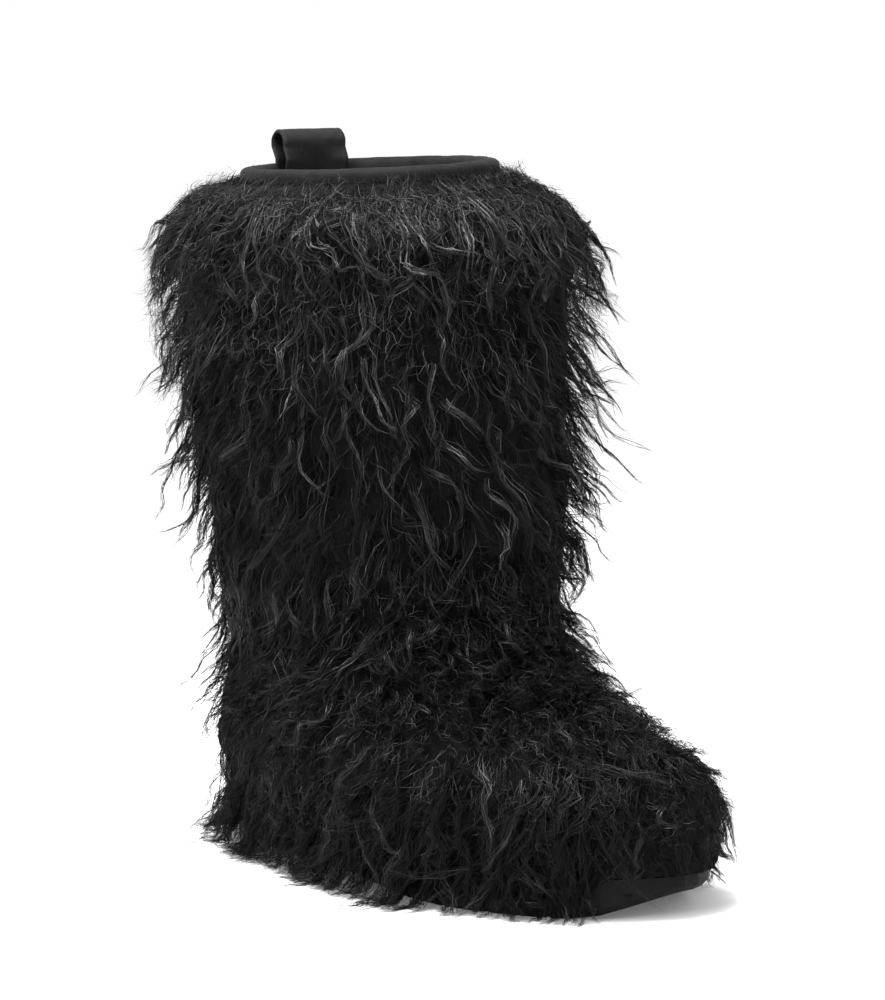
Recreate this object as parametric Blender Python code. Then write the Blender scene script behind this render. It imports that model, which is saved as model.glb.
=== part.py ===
"""Tall snow boot for the right foot, covered in long curly fur.

Metres, +Z up, toe along +X, outer side of the foot along -Y. The origin is on the floor under the middle
of the heel. Seven pieces: outsole, midsole, insole, upper, fur coat, collar binding and pull loop.
"""

import math

import bpy
import numpy as np

# Sole
SOLE_LENGTH = 0.276
HEEL_BACK = -0.038  # x of the sole's back edge
HEEL_ROUND = 0.039  # length of the rounded heel end
TOE_ROUND = 0.076  # length of the rounded toe end
OUTSOLE_HEIGHT = 0.015
OUTSOLE_BEVEL = 0.0025
TOE_SPRING = 0.0125
TOE_SPRING_START = 0.200
TOE_SPRING_LENGTH = 0.040
TOE_SPRING_SKEW = 0.4  # the toe lifts more on the inner side, where it points
ARCH_LIFT = 0.003
ARCH_START = 0.042
ARCH_END = 0.094
LIFT_AT_TOE = 0.0025  # how far the sole's top rises at the toe tip
LIFT_AT_HEEL = 0.004
RAND_HEIGHT = 0.009
RAND_STEP = 0.0018  # the midsole's edge stands this far inside the outsole's
RAND_TAPER = 0.0015
SEAT_GAP = 0.0003  # between two pieces that rest on each other

# Tread
GROOVE_WIDTH = 0.0028
GROOVE_DEPTH = 0.0055
GROOVE_FIRST = -0.0389
GROOVE_PITCH = 0.0201
GROOVE_COUNT = 14
GROOVE_POINT = 0.009  # how far the middle of each groove lies ahead of its ends

# Upper
HIDE_WALL = 0.003
FEATHER_INSET = 0.005  # the upper's lower edge stands this far inside the sole's outline
RIM_HEIGHT = 0.292  # top edge of the hide
RIM_RISE_FRONT = 0.0018
RIM_RISE_INSIDE = 0.0018
INSOLE_THICK = 0.005
INSOLE_GAP = 0.0022  # between the insole's edge and the hide

# Collar binding, folded over the hide's top edge
BINDING_THICK = 0.0019
BINDING_OUTER_DROP = 0.013
BINDING_INNER_DROP = 0.016
BINDING_GAP = 0.0003

# Pull loop
LOOP_WIDTH = 0.032
LOOP_THICK = 0.0022
LOOP_RISE = 0.009  # from the binding's top to the middle of the loop's round top
LOOP_RADIUS = 0.0048
LOOP_TUCK = 0.020  # how far its legs reach down inside the collar

# Fur
FUR_GAP = 0.0005
FUR_FOOT = 0.0030  # the coat's lower edge above the sole
COLUMNS = 34
LOCK_TIP_CLEARANCE = 0.003  # lowest that a lock hangs
WAIST_FILL = 0.0130  # extra thickness beside the arch, where the fur spreads over the floor
WAIST_START = -0.020
WAIST_END = 0.190
TOE_THINNING = 0.35  # share of the side's thickness that is gone at the toe
TOE_SHORTENING = 0.6  # share of the lowest locks' length that is gone at the toe

# fraction along the sole, centre line, half width
FOOT_PLAN = (
    (0.00, 0.0000, 0.0395),
    (0.18, -0.0008, 0.0395),
    (0.42, -0.0048, 0.0405),
    (0.68, -0.0020, 0.0540),
    (0.86, 0.0052, 0.0500),
    (1.00, 0.0125, 0.0455),
)

# height, back, front, inset from the sole's outline, half width of the oval, share of the oval
UPPER_SECTIONS = (
    (0.0240, -0.0330, 0.2325, 0.0050, 0.0400, 0.00),
    (0.0360, -0.0355, 0.2320, 0.0032, 0.0400, 0.00),
    (0.0470, -0.0362, 0.2240, 0.0036, 0.0395, 0.00),
    (0.0550, -0.0362, 0.2090, 0.0046, 0.0390, 0.00),
    (0.0615, -0.0358, 0.1855, 0.0056, 0.0385, 0.04),
    (0.0690, -0.0350, 0.1590, 0.0068, 0.0380, 0.12),
    (0.0790, -0.0338, 0.1355, 0.0080, 0.0378, 0.30),
    (0.0920, -0.0320, 0.1165, 0.0090, 0.0380, 0.58),
    (0.1080, -0.0302, 0.1028, 0.0095, 0.0390, 0.85),
    (0.1310, -0.0290, 0.0942, 0.0095, 0.0405, 1.00),
    (0.1670, -0.0295, 0.0905, 0.0095, 0.0432, 1.00),
    (0.2080, -0.0318, 0.0890, 0.0095, 0.0460, 1.00),
    (0.2510, -0.0334, 0.0888, 0.0095, 0.0482, 1.00),
    (RIM_HEIGHT, -0.0340, 0.0890, 0.0095, 0.0490, 1.00),
)

# height on the hide, thickness at the back, at the sides, in front and on top, locks: length, stand, wave
FUR_SECTIONS = (
    (0.0270, 0.0125, 0.0185, 0.0100, 0.0290, 0.0150, 0.0010),
    (0.0380, 0.0150, 0.0200, 0.0120, 0.0230, 0.0060, 0.0016),
    (0.0485, 0.0161, 0.0207, 0.0129, 0.0240, 0.0070, -0.0014),
    (0.0585, 0.0166, 0.0211, 0.0138, 0.0240, 0.0070, 0.0016),
    (0.0685, 0.0173, 0.0216, 0.0148, 0.0240, 0.0070, -0.0014),
    (0.0800, 0.0181, 0.0222, 0.0160, 0.0240, 0.0080, 0.0018),
    (0.0950, 0.0195, 0.0232, 0.0178, 0.0260, 0.0085, -0.0020),
    (0.1135, 0.0215, 0.0248, 0.0206, 0.0290, 0.0090, 0.0022),
    (0.1330, 0.0240, 0.0266, 0.0238, 0.0310, 0.0095, -0.0022),
    (0.1535, 0.0266, 0.0284, 0.0264, 0.0320, 0.0100, 0.0024),
    (0.1740, 0.0288, 0.0297, 0.0280, 0.0320, 0.0105, -0.0024),
    (0.1940, 0.0303, 0.0306, 0.0290, 0.0320, 0.0110, 0.0024),
    (0.2145, 0.0312, 0.0312, 0.0296, 0.0320, 0.0110, -0.0024),
    (0.2345, 0.0310, 0.0310, 0.0296, 0.0300, 0.0110, 0.0022),
    (0.2540, 0.0292, 0.0292, 0.0282, 0.0270, 0.0100, -0.0020),
    (0.2700, 0.0250, 0.0250, 0.0245, 0.0230, 0.0080, 0.0016),
    (0.2815, 0.0175, 0.0175, 0.0172, 0.0000, 0.0000, 0.0000),
    (0.2860, 0.0085, 0.0085, 0.0085, 0.0000, 0.0000, 0.0000),
)

# piece, colour, roughness, metallic
FINISHES = {
    "outsole": ((0.012, 0.012, 0.013), 0.62, 0.0),
    "midsole": ((0.016, 0.016, 0.017), 0.70, 0.0),
    "insole": ((0.62, 0.57, 0.48), 0.95, 0.0),
    "upper": ((0.030, 0.028, 0.028), 0.85, 0.0),
    "fur_coat": ((0.016, 0.016, 0.017), 0.60, 0.0),
    "collar_binding": ((0.014, 0.014, 0.015), 0.75, 0.0),
    "pull_loop": ((0.014, 0.014, 0.015), 0.80, 0.0),
}


def read(table, column, at):
    """Reads a column of a table at these values of its first column, on a smooth curve through the rows."""
    knots = np.array([row[0] for row in table])
    values = np.array([row[column] for row in table])
    at = np.clip(np.asarray(at, float), knots[0], knots[-1])
    steps = np.diff(values) / np.diff(knots)
    slopes = np.zeros(len(knots))
    same_way = steps[:-1] * steps[1:] > 0
    slopes[1:-1][same_way] = 2 * (steps[:-1] * steps[1:])[same_way] / (steps[:-1] + steps[1:])[same_way]
    slopes[0] = steps[0]
    slopes[-1] = steps[-1]
    i = np.clip(np.searchsorted(knots, at, side="right") - 1, 0, len(knots) - 2)
    width = knots[i + 1] - knots[i]
    t = (at - knots[i]) / width
    return (
        values[i] * (1 + 2 * t) * (1 - t) ** 2
        + values[i + 1] * t**2 * (3 - 2 * t)
        + slopes[i] * width * t * (1 - t) ** 2
        - slopes[i + 1] * width * t**2 * (1 - t)
    )


def rounded(distance, radius):
    """0 at an end of an outline, 1 from radius onward, along an ellipse."""
    t = np.clip(np.asarray(distance) / radius, 0, 1)
    return np.sqrt(np.maximum(1 - (1 - t) ** 2, 0))


def fraction(x):
    return (np.asarray(x) - HEEL_BACK) / SOLE_LENGTH


def sole_lift(x):
    """How far the sole's top surface lies above its height at the ball."""
    heel = np.clip(1 - fraction(x) / 0.55, 0, 1)
    toe = np.clip((fraction(x) - 0.72) / 0.28, 0, 1)
    return LIFT_AT_HEEL * heel**2 * (3 - 2 * heel) + LIFT_AT_TOE * toe**2


def bottom(x, y):
    """Height of the outsole's lower surface: flat at the heel and the ball, raised at the arch and the toe."""
    x, y = np.asarray(x, float), np.asarray(y, float)
    toe = np.clip((x + TOE_SPRING_SKEW * y - TOE_SPRING_START) / TOE_SPRING_LENGTH, 0, 0.92)
    arch = np.clip((x - ARCH_START) / (ARCH_END - ARCH_START), 0, 1)
    return TOE_SPRING * toe**2 + ARCH_LIFT * np.sin(math.pi * arch) ** 2


def plan_half(x, inset, back, front):
    half = read(FOOT_PLAN, 2, fraction(x)) - inset
    return half * rounded(x - back, HEEL_ROUND - inset) * rounded(front - x, TOE_ROUND - inset)


# ---- sole ----


def stations():
    """Places along the sole, close together round the heel and the toe."""
    heel = [1 - math.cos(math.radians(a)) for a in range(0, 91, 15)]
    toe = [math.sin(math.radians(a)) for a in range(0, 91, 11)] + [1.0]
    start = HEEL_ROUND / SOLE_LENGTH
    end = 1 - TOE_ROUND / SOLE_LENGTH
    middle = np.linspace(start, end, 9)[1:]
    return np.array([h * start for h in heel] + list(middle) + [end + (1 - end) * t for t in toe[1:]])


def sole_ring(inset, height):
    """Outline of the sole, drawn in by inset, with height a function of x and y. Its points pair up across."""
    back = HEEL_BACK + inset
    front = HEEL_BACK + SOLE_LENGTH - inset
    x = back + (front - back) * stations()
    half = plan_half(x, inset, back, front)
    centre = read(FOOT_PLAN, 1, fraction(x))
    outer = np.column_stack([x, centre - half, height(x, centre - half)])
    inner = np.column_stack([x, centre + half, height(x, centre + half)])
    return np.vstack([outer, inner[-2:0:-1]])


def plate(name, rings):
    """A solid between rings of paired points, the lowest first, with both ends closed by strips across."""
    count = len(rings[0])
    last = len(rings) - 1
    faces = []
    for level in range(last):
        for i in range(count):
            j = (i + 1) % count
            faces.append((level * count + i, level * count + j, (level + 1) * count + j, (level + 1) * count + i))
    for i in range(count // 2):
        across = [i, i + 1, (count - i - 1) % count, (count - i) % count]
        across = [p for n, p in enumerate(across) if p not in across[:n]]
        faces.append(tuple(reversed(across)))
        faces.append(tuple(last * count + p for p in across))
    return add_mesh(name, np.vstack(rings), faces)


def add_mesh(name, points, faces):
    mesh = bpy.data.meshes.new(name)
    mesh.from_pydata([tuple(map(float, p)) for p in points], [], faces)
    mesh.validate()
    mesh.update()
    solid = bpy.data.objects.new(name, mesh)
    bpy.context.scene.collection.objects.link(solid)
    return solid


def outsole_top(x, y=0):
    return OUTSOLE_HEIGHT + sole_lift(x)


def rand_top(x, y=0):
    return outsole_top(x) + RAND_HEIGHT


def make_groove(index):
    """A cutter for one groove of the tread, a chevron right across the sole."""
    x = GROOVE_FIRST + index * GROOVE_PITCH
    reach = 0.070
    top = float(bottom(x + GROOVE_POINT / 2, 0)) + GROOVE_DEPTH
    low = -0.004
    half = GROOVE_WIDTH / 2
    end = x - GROOVE_POINT * (reach / 0.050 - 1)
    line = [(end, -reach), (x + GROOVE_POINT, 0), (end, reach)]
    plan = [(px - half, py) for px, py in line] + [(px + half, py) for px, py in reversed(line)]
    points = [(px, py, low) for px, py in plan] + [(px, py, top) for px, py in plan]
    count = len(plan)
    faces = [(0, 1, 4, 5), (1, 2, 3, 4), (11, 10, 7, 6), (10, 9, 8, 7)]
    faces += [((i + 1) % count, i, i + count, (i + 1) % count + count) for i in range(count)]
    cutter = add_mesh(f"groove_{index}", points, faces)
    cutter.hide_render = True
    cutter.display_type = "WIRE"
    return cutter


def make_outsole():
    solid = plate(
        "outsole",
        [
            sole_ring(OUTSOLE_BEVEL, bottom),
            sole_ring(0.0, lambda x, y: bottom(x, y) + OUTSOLE_BEVEL),
            sole_ring(0.0004, outsole_top),
        ],
    )
    for index in range(GROOVE_COUNT):
        cut = solid.modifiers.new(f"groove_{index}", "BOOLEAN")
        cut.operation = "DIFFERENCE"
        cut.object = make_groove(index)
    return solid


def make_midsole():
    low = OUTSOLE_HEIGHT + SEAT_GAP
    return plate(
        "midsole",
        [
            sole_ring(RAND_STEP, lambda x, y: low + sole_lift(x)),
            sole_ring(RAND_STEP - 0.0006, lambda x, y: low + sole_lift(x) + 0.0025),
            sole_ring(RAND_STEP - 0.0004, lambda x, y: rand_top(x) - 0.0025),
            sole_ring(RAND_STEP + RAND_TAPER, rand_top),
        ],
    )


def make_insole():
    inset = FEATHER_INSET + HIDE_WALL + INSOLE_GAP
    return plate(
        "insole",
        [
            sole_ring(inset, lambda x, y: rand_top(x) + SEAT_GAP),
            sole_ring(inset, lambda x, y: rand_top(x) + SEAT_GAP + INSOLE_THICK - 0.0015),
            sole_ring(inset + 0.0015, lambda x, y: rand_top(x) + SEAT_GAP + INSOLE_THICK),
        ],
    )


# ---- upper ----


def foot_height(x):
    """Height of the foot's top line at x, far above the boot where the shaft stands."""
    heights = np.array([row[0] for row in UPPER_SECTIONS[1:9]])
    fronts = np.array([row[2] for row in UPPER_SECTIONS[1:9]])
    dense = np.linspace(heights[0], heights[-1], 200)
    line = read(UPPER_SECTIONS, 2, dense)
    order = np.argsort(line)
    shaft = fronts[-1]
    return np.where(x < shaft, 1.0, np.interp(x, line[order], dense[order]))


def section(height):
    """The upper's outline at this height, as x, outer half and inner half, from the heel to the front."""
    back = float(read(UPPER_SECTIONS, 1, height))
    front = float(read(UPPER_SECTIONS, 2, height))
    inset = float(read(UPPER_SECTIONS, 3, height))
    oval = float(read(UPPER_SECTIONS, 4, height))
    share = float(read(UPPER_SECTIONS, 5, height))
    base = UPPER_SECTIONS[0][0]
    turn = np.linspace(0, math.pi, 241)
    x = back + (front - back) * (0.5 - 0.5 * np.cos(turn))
    foot_front = max(front, UPPER_SECTIONS[1][2])
    half = plan_half(x, inset, back, foot_front)
    rise = np.clip((height - base) / (foot_height(x) - base), 0, 1)
    half = half * np.maximum(1 - rise**2.6, 0) ** (1 / 2.3)
    half = (1 - share) * half + share * oval * np.sin(turn)
    half[0] = 0
    half[-1] = 0
    centre = (1 - share) * read(FOOT_PLAN, 1, fraction(x))
    return x, centre, half


def side_points(x, y, count):
    """Spreads count steps along one side of an outline, closer together where it bends."""
    step = np.hypot(np.diff(x), np.diff(y))
    way = np.unwrap(np.arctan2(np.diff(y), np.diff(x)))
    turn = np.concatenate([[0], np.abs(np.diff(way))])
    spread = step / step.sum() + 0.9 * turn / turn.sum()
    along = np.concatenate([[0], np.cumsum(spread)])
    wanted = np.linspace(0, along[-1], count + 1)
    return np.column_stack([np.interp(wanted, along, x), np.interp(wanted, along, y)])


def upper_ring(height):
    """COLUMNS points round the upper's outside at this height, from the heel along the outer side."""
    x, centre, half = section(height)
    outer = side_points(x, centre - half, COLUMNS // 2)
    inner = side_points(x, centre + half, COLUMNS // 2)
    flat = np.vstack([outer, inner[-2:0:-1]])
    base = UPPER_SECTIONS[0][0]
    fade = max(0.0, 1 - (height - base) / 0.05)
    top = max(0.0, (height - 0.13) / (RIM_HEIGHT - 0.13))
    middle = (UPPER_SECTIONS[-1][1] + UPPER_SECTIONS[-1][2]) / 2
    tilt = RIM_RISE_FRONT * (flat[:, 0] - middle) / 0.060 + RIM_RISE_INSIDE * flat[:, 1] / 0.049
    z = height + fade * (rand_top(flat[:, 0]) - base) + tilt * top
    if fade == 1:
        z = z + SEAT_GAP
    return np.column_stack([flat, z])


def normals(rings):
    """Outward direction at each point of a stack of rings, the lowest ring first."""
    round_way = np.roll(rings, -1, axis=1) - np.roll(rings, 1, axis=1)
    up_way = np.gradient(rings, axis=0)
    out = np.cross(round_way, up_way)
    return out / np.linalg.norm(out, axis=2, keepdims=True)


def level_normals(rings):
    """The same, turned level at the lowest and the highest ring so that the edges stay flat."""
    out = normals(rings)
    for k in (0, -1):
        out[k, :, 2] = 0
        out[k] /= np.linalg.norm(out[k], axis=1, keepdims=True)
    return out


def hide_rings():
    return np.array([upper_ring(row[0]) for row in UPPER_SECTIONS])


def ring_solid(name, rings, inner=0, left_out=(), more_points=(), more_faces=()):
    """A closed tube of rings, each joined to the next and the last to the first, in triangles.

    The last rings, as many as inner, are split along the other diagonal, so that an inner face runs level
    with the outer face of what it lines.
    """
    rings = np.asarray(rings)
    levels, count = rings.shape[:2]
    turned = levels - inner
    faces = []
    for k in range(levels):
        for i in range(count):
            if (k, i) in left_out:
                continue
            j = (i + 1) % count
            above = (k + 1) % levels
            a, b, c, d = k * count + i, k * count + j, above * count + j, above * count + i
            faces += [(a, b, c), (a, c, d)] if k < turned else [(a, b, d), (b, c, d)]
    points = list(rings.reshape(-1, 3)) + list(more_points)
    return add_mesh(name, points, faces + list(more_faces))


def make_upper(outside):
    inside = outside - HIDE_WALL * level_normals(outside)
    return ring_solid("upper", list(outside) + list(inside[::-1]), len(inside))


def make_binding(outside):
    """A strip folded over the collar: each column repeats one profile, read outward and upward from the rim."""
    out = level_normals(outside)[-1]
    rim = outside[-1]
    near = BINDING_GAP
    far = BINDING_GAP + BINDING_THICK
    inside = -HIDE_WALL
    profile = (
        (near, -BINDING_OUTER_DROP),
        (far, -BINDING_OUTER_DROP),
        (far + 0.0003, -BINDING_OUTER_DROP / 2),
        (far, near),
        (near, far),
        (inside - near, far),
        (inside - far, near),
        (inside - far - 0.0003, -BINDING_INNER_DROP / 2),
        (inside - far, -BINDING_INNER_DROP),
        (inside - near, -BINDING_INNER_DROP),
        (inside - near, near),
        (near, near),
    )
    below = outside[-2] - rim
    below = below / np.abs(below[:, 2:3])
    rings = []
    for offset, up in profile:
        ring = rim + out * offset + np.array([0, 0, up])
        if up < 0:
            ring[:, :2] += below[:, :2] * -up
        rings.append(ring)
    return ring_solid("collar_binding", rings)


# ---- pull loop ----


def loop_path(top):
    """Middle line of the strap as distance in from the binding and height, from the back leg to the front."""
    turn = np.radians(np.arange(180, -1, -30))
    middle = 0.0064
    arc = [(middle + LOOP_RADIUS * math.cos(a), top + LOOP_RISE + LOOP_RADIUS * math.sin(a)) for a in turn]
    back = [(0.0016, top - LOOP_TUCK), (0.0016, top - 0.008), (0.0017, top + 0.002)]
    front = [(0.0106, top + 0.004), (0.0092, top - 0.003), (0.0066, top - 0.010)]
    foot = [(0.0047, top - 0.016), (0.0046, top - LOOP_TUCK)]
    return np.array(back + arc + front + foot)


def make_pull_loop(outside):
    rim = outside[-1]
    back = rim[0]
    top = back[2] + BINDING_GAP + BINDING_THICK + 0.0003
    wall = back[0] + HIDE_WALL + BINDING_GAP + BINDING_THICK + 0.0003
    path = loop_path(top)
    way = np.gradient(path, axis=0)
    way /= np.linalg.norm(way, axis=1, keepdims=True)
    side = np.column_stack([way[:, 1], -way[:, 0]]) * LOOP_THICK / 2
    profile = np.vstack([path - side, (path + side)[::-1]])
    bend = 1 / 0.034
    points = []
    across = np.linspace(-LOOP_WIDTH / 2, LOOP_WIDTH / 2, 5)
    for y in across:
        for inward, z in profile:
            hug = float(np.clip((top + 0.008 - z) / 0.006, 0.12, 1))
            points.append((wall + inward + hug * bend * y * y / 2, y, z))
    count = len(profile)
    faces = []
    for k in range(len(across) - 1):
        for i in range(count):
            j = (i + 1) % count
            faces.append((k * count + i, k * count + j, (k + 1) * count + j, (k + 1) * count + i))
    last = (len(across) - 1) * count
    for i in range(len(path) - 1):
        cap = (i, i + 1, count - 2 - i, count - 1 - i)
        faces.append(tuple(reversed(cap)))
        faces.append(tuple(last + p for p in cap))
    return add_mesh("pull_loop", points, faces)


# ---- fur ----


def toe_share(x):
    """0 as far forward as the ball, 1 at the toe, where thinner fur leaves the sole's side in view."""
    t = np.clip((x - 0.130) / 0.060, 0, 1)
    return t * t * (3 - 2 * t)


def waist_share(x):
    """1 beside the arch and 0 at the heel and the ball."""
    return np.sin(math.pi * np.clip((x - WAIST_START) / (WAIST_END - WAIST_START), 0, 1)) ** 2


def fur_rings(hide):
    """The coat's outer surface without its locks, a ring for each row of FUR_SECTIONS."""
    rows = np.array([upper_ring(row[0]) for row in FUR_SECTIONS])
    rows[0, :, 2] += SEAT_GAP
    out = normals(rows)
    out[0, :, 2] = np.maximum(out[0, :, 2], 0)
    rings = []
    for k, (height, back, sides, front, *_) in enumerate(FUR_SECTIONS):
        ahead = out[k, :, 0]
        share = out[k] ** 2
        x, low = rows[k, :, 0], min(max((0.110 - height) / 0.070, 0), 1)
        at_side = sides * (1 - TOE_THINNING * toe_share(x)) + WAIST_FILL * low * waist_share(x)
        thick = share[:, 0] * np.where(ahead < 0, back, front) + share[:, 1] * at_side + share[:, 2] * front
        rings.append(rows[k] + out[k] * thick[:, None])
    return np.array(rings)


def lock_at(rings, out, k, i, first):
    """Points and faces of the lock that grows from face i between rings k and k + 1."""
    count = rings.shape[1]
    j = (i + 1) % count
    low_a, low_b, high_b, high_a = rings[k, i], rings[k, j], rings[k + 1, j], rings[k + 1, i]
    middle = (low_a + low_b + high_a + high_b) / 4
    outward = out[k, i] + out[k, j] + out[k + 1, i] + out[k + 1, j]
    outward /= np.linalg.norm(outward)
    down = (low_a + low_b - high_a - high_b) / 2
    height = np.linalg.norm(down)
    down /= height
    if k == 0:
        down = np.array([0, 0, -1.0])
        outward[2] = 0
        outward /= np.linalg.norm(outward)
    side = np.cross(outward, down)
    side /= np.linalg.norm(side)
    width = np.linalg.norm(high_a - high_b)
    length, stand, wave = FUR_SECTIONS[k][4:]
    vary = 1 + 0.14 * math.sin(2.3 * i + 1.7 * k)
    length = min(length, 1.75 * height + 0.010) * vary
    wave = wave * vary
    if k == 0:
        drop = middle[2] - LOCK_TIP_CLEARANCE
        length = drop * (1 - TOE_SHORTENING * float(toe_share(middle[0]))) * min(1, vary)
    points = []
    for share, lift, spread, thick, sway in ((0.45, 0.62, 0.36, 0.0023, 1.0), (0.76, 0.92, 0.23, 0.0016, -0.6)):
        centre = middle + down * length * share + outward * stand * lift + side * wave * sway
        across = side * width * spread
        deep = outward * thick
        points += [centre - across - deep, centre + across - deep, centre + across + deep, centre - across + deep]
    points.append(middle + down * length + outward * stand * 0.9 + side * wave * 0.8)
    if np.dot(np.cross(low_b - low_a, high_b - low_a), outward) < 0 or np.dot(side, low_b - low_a) < 0:
        points = [points[n] for n in (1, 0, 3, 2, 5, 4, 7, 6, 8)]
    base = (k * count + i, k * count + j, (k + 1) * count + j, (k + 1) * count + i)
    mid = tuple(first + n for n in range(4))
    end = tuple(first + n for n in range(4, 8))
    tip = first + 8
    faces = []
    for n in range(4):
        m = (n + 1) % 4
        faces += [(base[n], base[m], mid[m]), (base[n], mid[m], mid[n])]
        faces += [(mid[n], mid[m], end[m]), (mid[n], end[m], end[n]), (end[n], end[m], tip)]
    return points, faces


def make_fur(hide):
    outer = fur_rings(hide)
    out = normals(outer)
    hide_out = level_normals(hide)
    stop = RIM_HEIGHT - BINDING_OUTER_DROP - 0.001
    inner = [ring + hide_out[k] * FUR_GAP for k, ring in enumerate(hide) if UPPER_SECTIONS[k][0] < stop]
    share = FUR_FOOT / (UPPER_SECTIONS[1][0] - UPPER_SECTIONS[0][0])
    inner[0] += (inner[1] - inner[0]) * share
    step = FUR_GAP + BINDING_GAP + BINDING_THICK + 0.0003
    rim_out = hide_out[-1]
    for height, offset in ((stop - 0.001, FUR_GAP), (stop, step), (FUR_SECTIONS[-1][0] + 0.001, step)):
        inner.append(upper_ring(height) + rim_out * offset)
    rings = np.array(list(outer) + inner[::-1])
    points, faces, left_out = [], [], set()
    first = rings.shape[0] * COLUMNS
    for k in range(len(FUR_SECTIONS) - 1):
        if FUR_SECTIONS[k][4] == 0:
            continue
        for i in range(COLUMNS):
            if k > 0 and (i + k) % 2:
                continue
            left_out.add((k, i))
            more, sides = lock_at(outer, out, k, i, first + len(points))
            points += more
            faces += sides
    return ring_solid("fur_coat", rings, len(inner), left_out, points, faces)


# ---- finish ----


def give_finish(solid):
    colour, roughness, metallic = FINISHES[solid.name]
    material = bpy.data.materials.new(solid.name)
    material.use_nodes = True
    shader = material.node_tree.nodes["Principled BSDF"]
    shader.inputs["Base Color"].default_value = (*colour, 1)
    shader.inputs["Roughness"].default_value = roughness
    shader.inputs["Metallic"].default_value = metallic
    material.diffuse_color = (*colour, 1)
    solid.data.materials.append(material)
    solid.data.shade_smooth()
    solid.data.set_sharp_from_angle(angle=math.radians(35))


def main():
    for old in list(bpy.data.objects):
        bpy.data.objects.remove(old)
    hide = hide_rings()
    for solid in (
        make_outsole(),
        make_midsole(),
        make_insole(),
        make_upper(hide),
        make_binding(hide),
        make_pull_loop(hide),
        make_fur(hide),
    ):
        give_finish(solid)


main()
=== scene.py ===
import math

import bpy
import numpy as np
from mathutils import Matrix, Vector
from mathutils.bvhtree import BVHTree


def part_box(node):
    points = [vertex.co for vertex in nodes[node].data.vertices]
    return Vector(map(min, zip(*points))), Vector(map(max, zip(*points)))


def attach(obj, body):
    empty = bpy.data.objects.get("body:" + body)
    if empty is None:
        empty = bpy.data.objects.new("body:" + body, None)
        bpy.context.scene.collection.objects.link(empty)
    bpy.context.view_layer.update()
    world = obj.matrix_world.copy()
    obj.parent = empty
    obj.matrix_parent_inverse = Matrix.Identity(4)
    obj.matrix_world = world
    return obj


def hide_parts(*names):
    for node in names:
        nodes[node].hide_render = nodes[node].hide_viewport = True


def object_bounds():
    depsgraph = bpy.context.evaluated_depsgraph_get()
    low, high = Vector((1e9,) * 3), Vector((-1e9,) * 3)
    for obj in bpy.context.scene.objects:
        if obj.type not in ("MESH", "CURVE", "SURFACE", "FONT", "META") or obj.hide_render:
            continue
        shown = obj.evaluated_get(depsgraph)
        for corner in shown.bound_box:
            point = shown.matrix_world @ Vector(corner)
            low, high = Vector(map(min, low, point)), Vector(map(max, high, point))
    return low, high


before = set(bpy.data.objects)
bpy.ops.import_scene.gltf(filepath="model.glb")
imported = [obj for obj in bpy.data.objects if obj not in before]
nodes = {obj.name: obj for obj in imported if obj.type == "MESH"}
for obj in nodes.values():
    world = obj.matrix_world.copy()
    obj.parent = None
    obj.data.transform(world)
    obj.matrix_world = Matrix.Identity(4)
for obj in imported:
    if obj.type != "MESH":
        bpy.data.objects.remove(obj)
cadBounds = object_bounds()
print("frame loaded")


# helpers

def smoothStep(low, high, value):
    t = np.clip((np.asarray(value, float) - low) / (high - low), 0, 1)
    return t * t * (3 - 2 * t)


def unit(vectors):
    return vectors / np.maximum(np.linalg.norm(vectors, axis=-1, keepdims=True), 1e-12)


def curveBetween(p, q, r, s, part):  # a smooth curve from q to r, with p before it and s after it
    return 0.5 * (2 * q + (r - p) * part + (2 * p - 5 * q + 4 * r - s) * part ** 2
                  + (3 * q - p - 3 * r + s) * part ** 3)


def lattice(cells, seed):  # a fixed random value from -1 to 1 for each cell
    n = cells[..., 0] * 374761393 + cells[..., 1] * 668265263 + cells[..., 2] * 2147483647
    n = n + seed * 1274126177
    n = (n ^ (n >> 13)) * 1274126177
    return ((n ^ (n >> 16)) & 0xFFFFFF) / 0x7FFFFF - 1.0


def softNoise(places, size, seed=0):  # smooth noise whose lumps are about this size
    places = np.asarray(places, float) / size
    cell = np.floor(places).astype(np.int64)
    part = places - cell
    part = part * part * (3 - 2 * part)
    total = 0
    for dx in (0, 1):
        for dy in (0, 1):
            for dz in (0, 1):
                share = np.where(dx, part[..., 0], 1 - part[..., 0])
                share = share * np.where(dy, part[..., 1], 1 - part[..., 1])
                share = share * np.where(dz, part[..., 2], 1 - part[..., 2])
                total = total + share * lattice(cell + np.array([dx, dy, dz]), seed)
    return total


def addObject(name, data):
    added = bpy.data.objects.new(name, data)
    bpy.context.scene.collection.objects.link(added)
    return added


def newPiece(name, points, faces, material, smooth=True):
    mesh = bpy.data.meshes.new(name)
    mesh.from_pydata(np.asarray(points, float).tolist(), [], [tuple(f) for f in faces])
    mesh.update()
    if smooth:
        mesh.shade_smooth()
    mesh.materials.append(material)
    return addObject(name, mesh)


def gridFaces(rows, columns):  # quads of a grid whose columns run round
    faces = []
    for r in range(rows - 1):
        for c in range(columns):
            d = (c + 1) % columns
            faces.append((r * columns + c, r * columns + d, (r + 1) * columns + d, (r + 1) * columns + c))
    return faces


def bakeLayout(piece, u, v):  # a layout for surface colour, one value pair for each point
    mesh = piece.data
    layer = mesh.uv_layers.new(name="OFBake")
    corner = np.empty(len(mesh.loops), np.int32)
    mesh.loops.foreach_get("vertex_index", corner)
    layer.uv.foreach_set("vector", np.column_stack([u, v])[corner].astype(np.float32).ravel())


def bakeGrid(piece, rows, columns):  # the same for a grid of points
    across, up = np.arange(columns) / columns, np.arange(rows) / rows
    bakeLayout(piece, np.tile(across, rows), np.repeat(up, columns))


# materials

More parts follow.
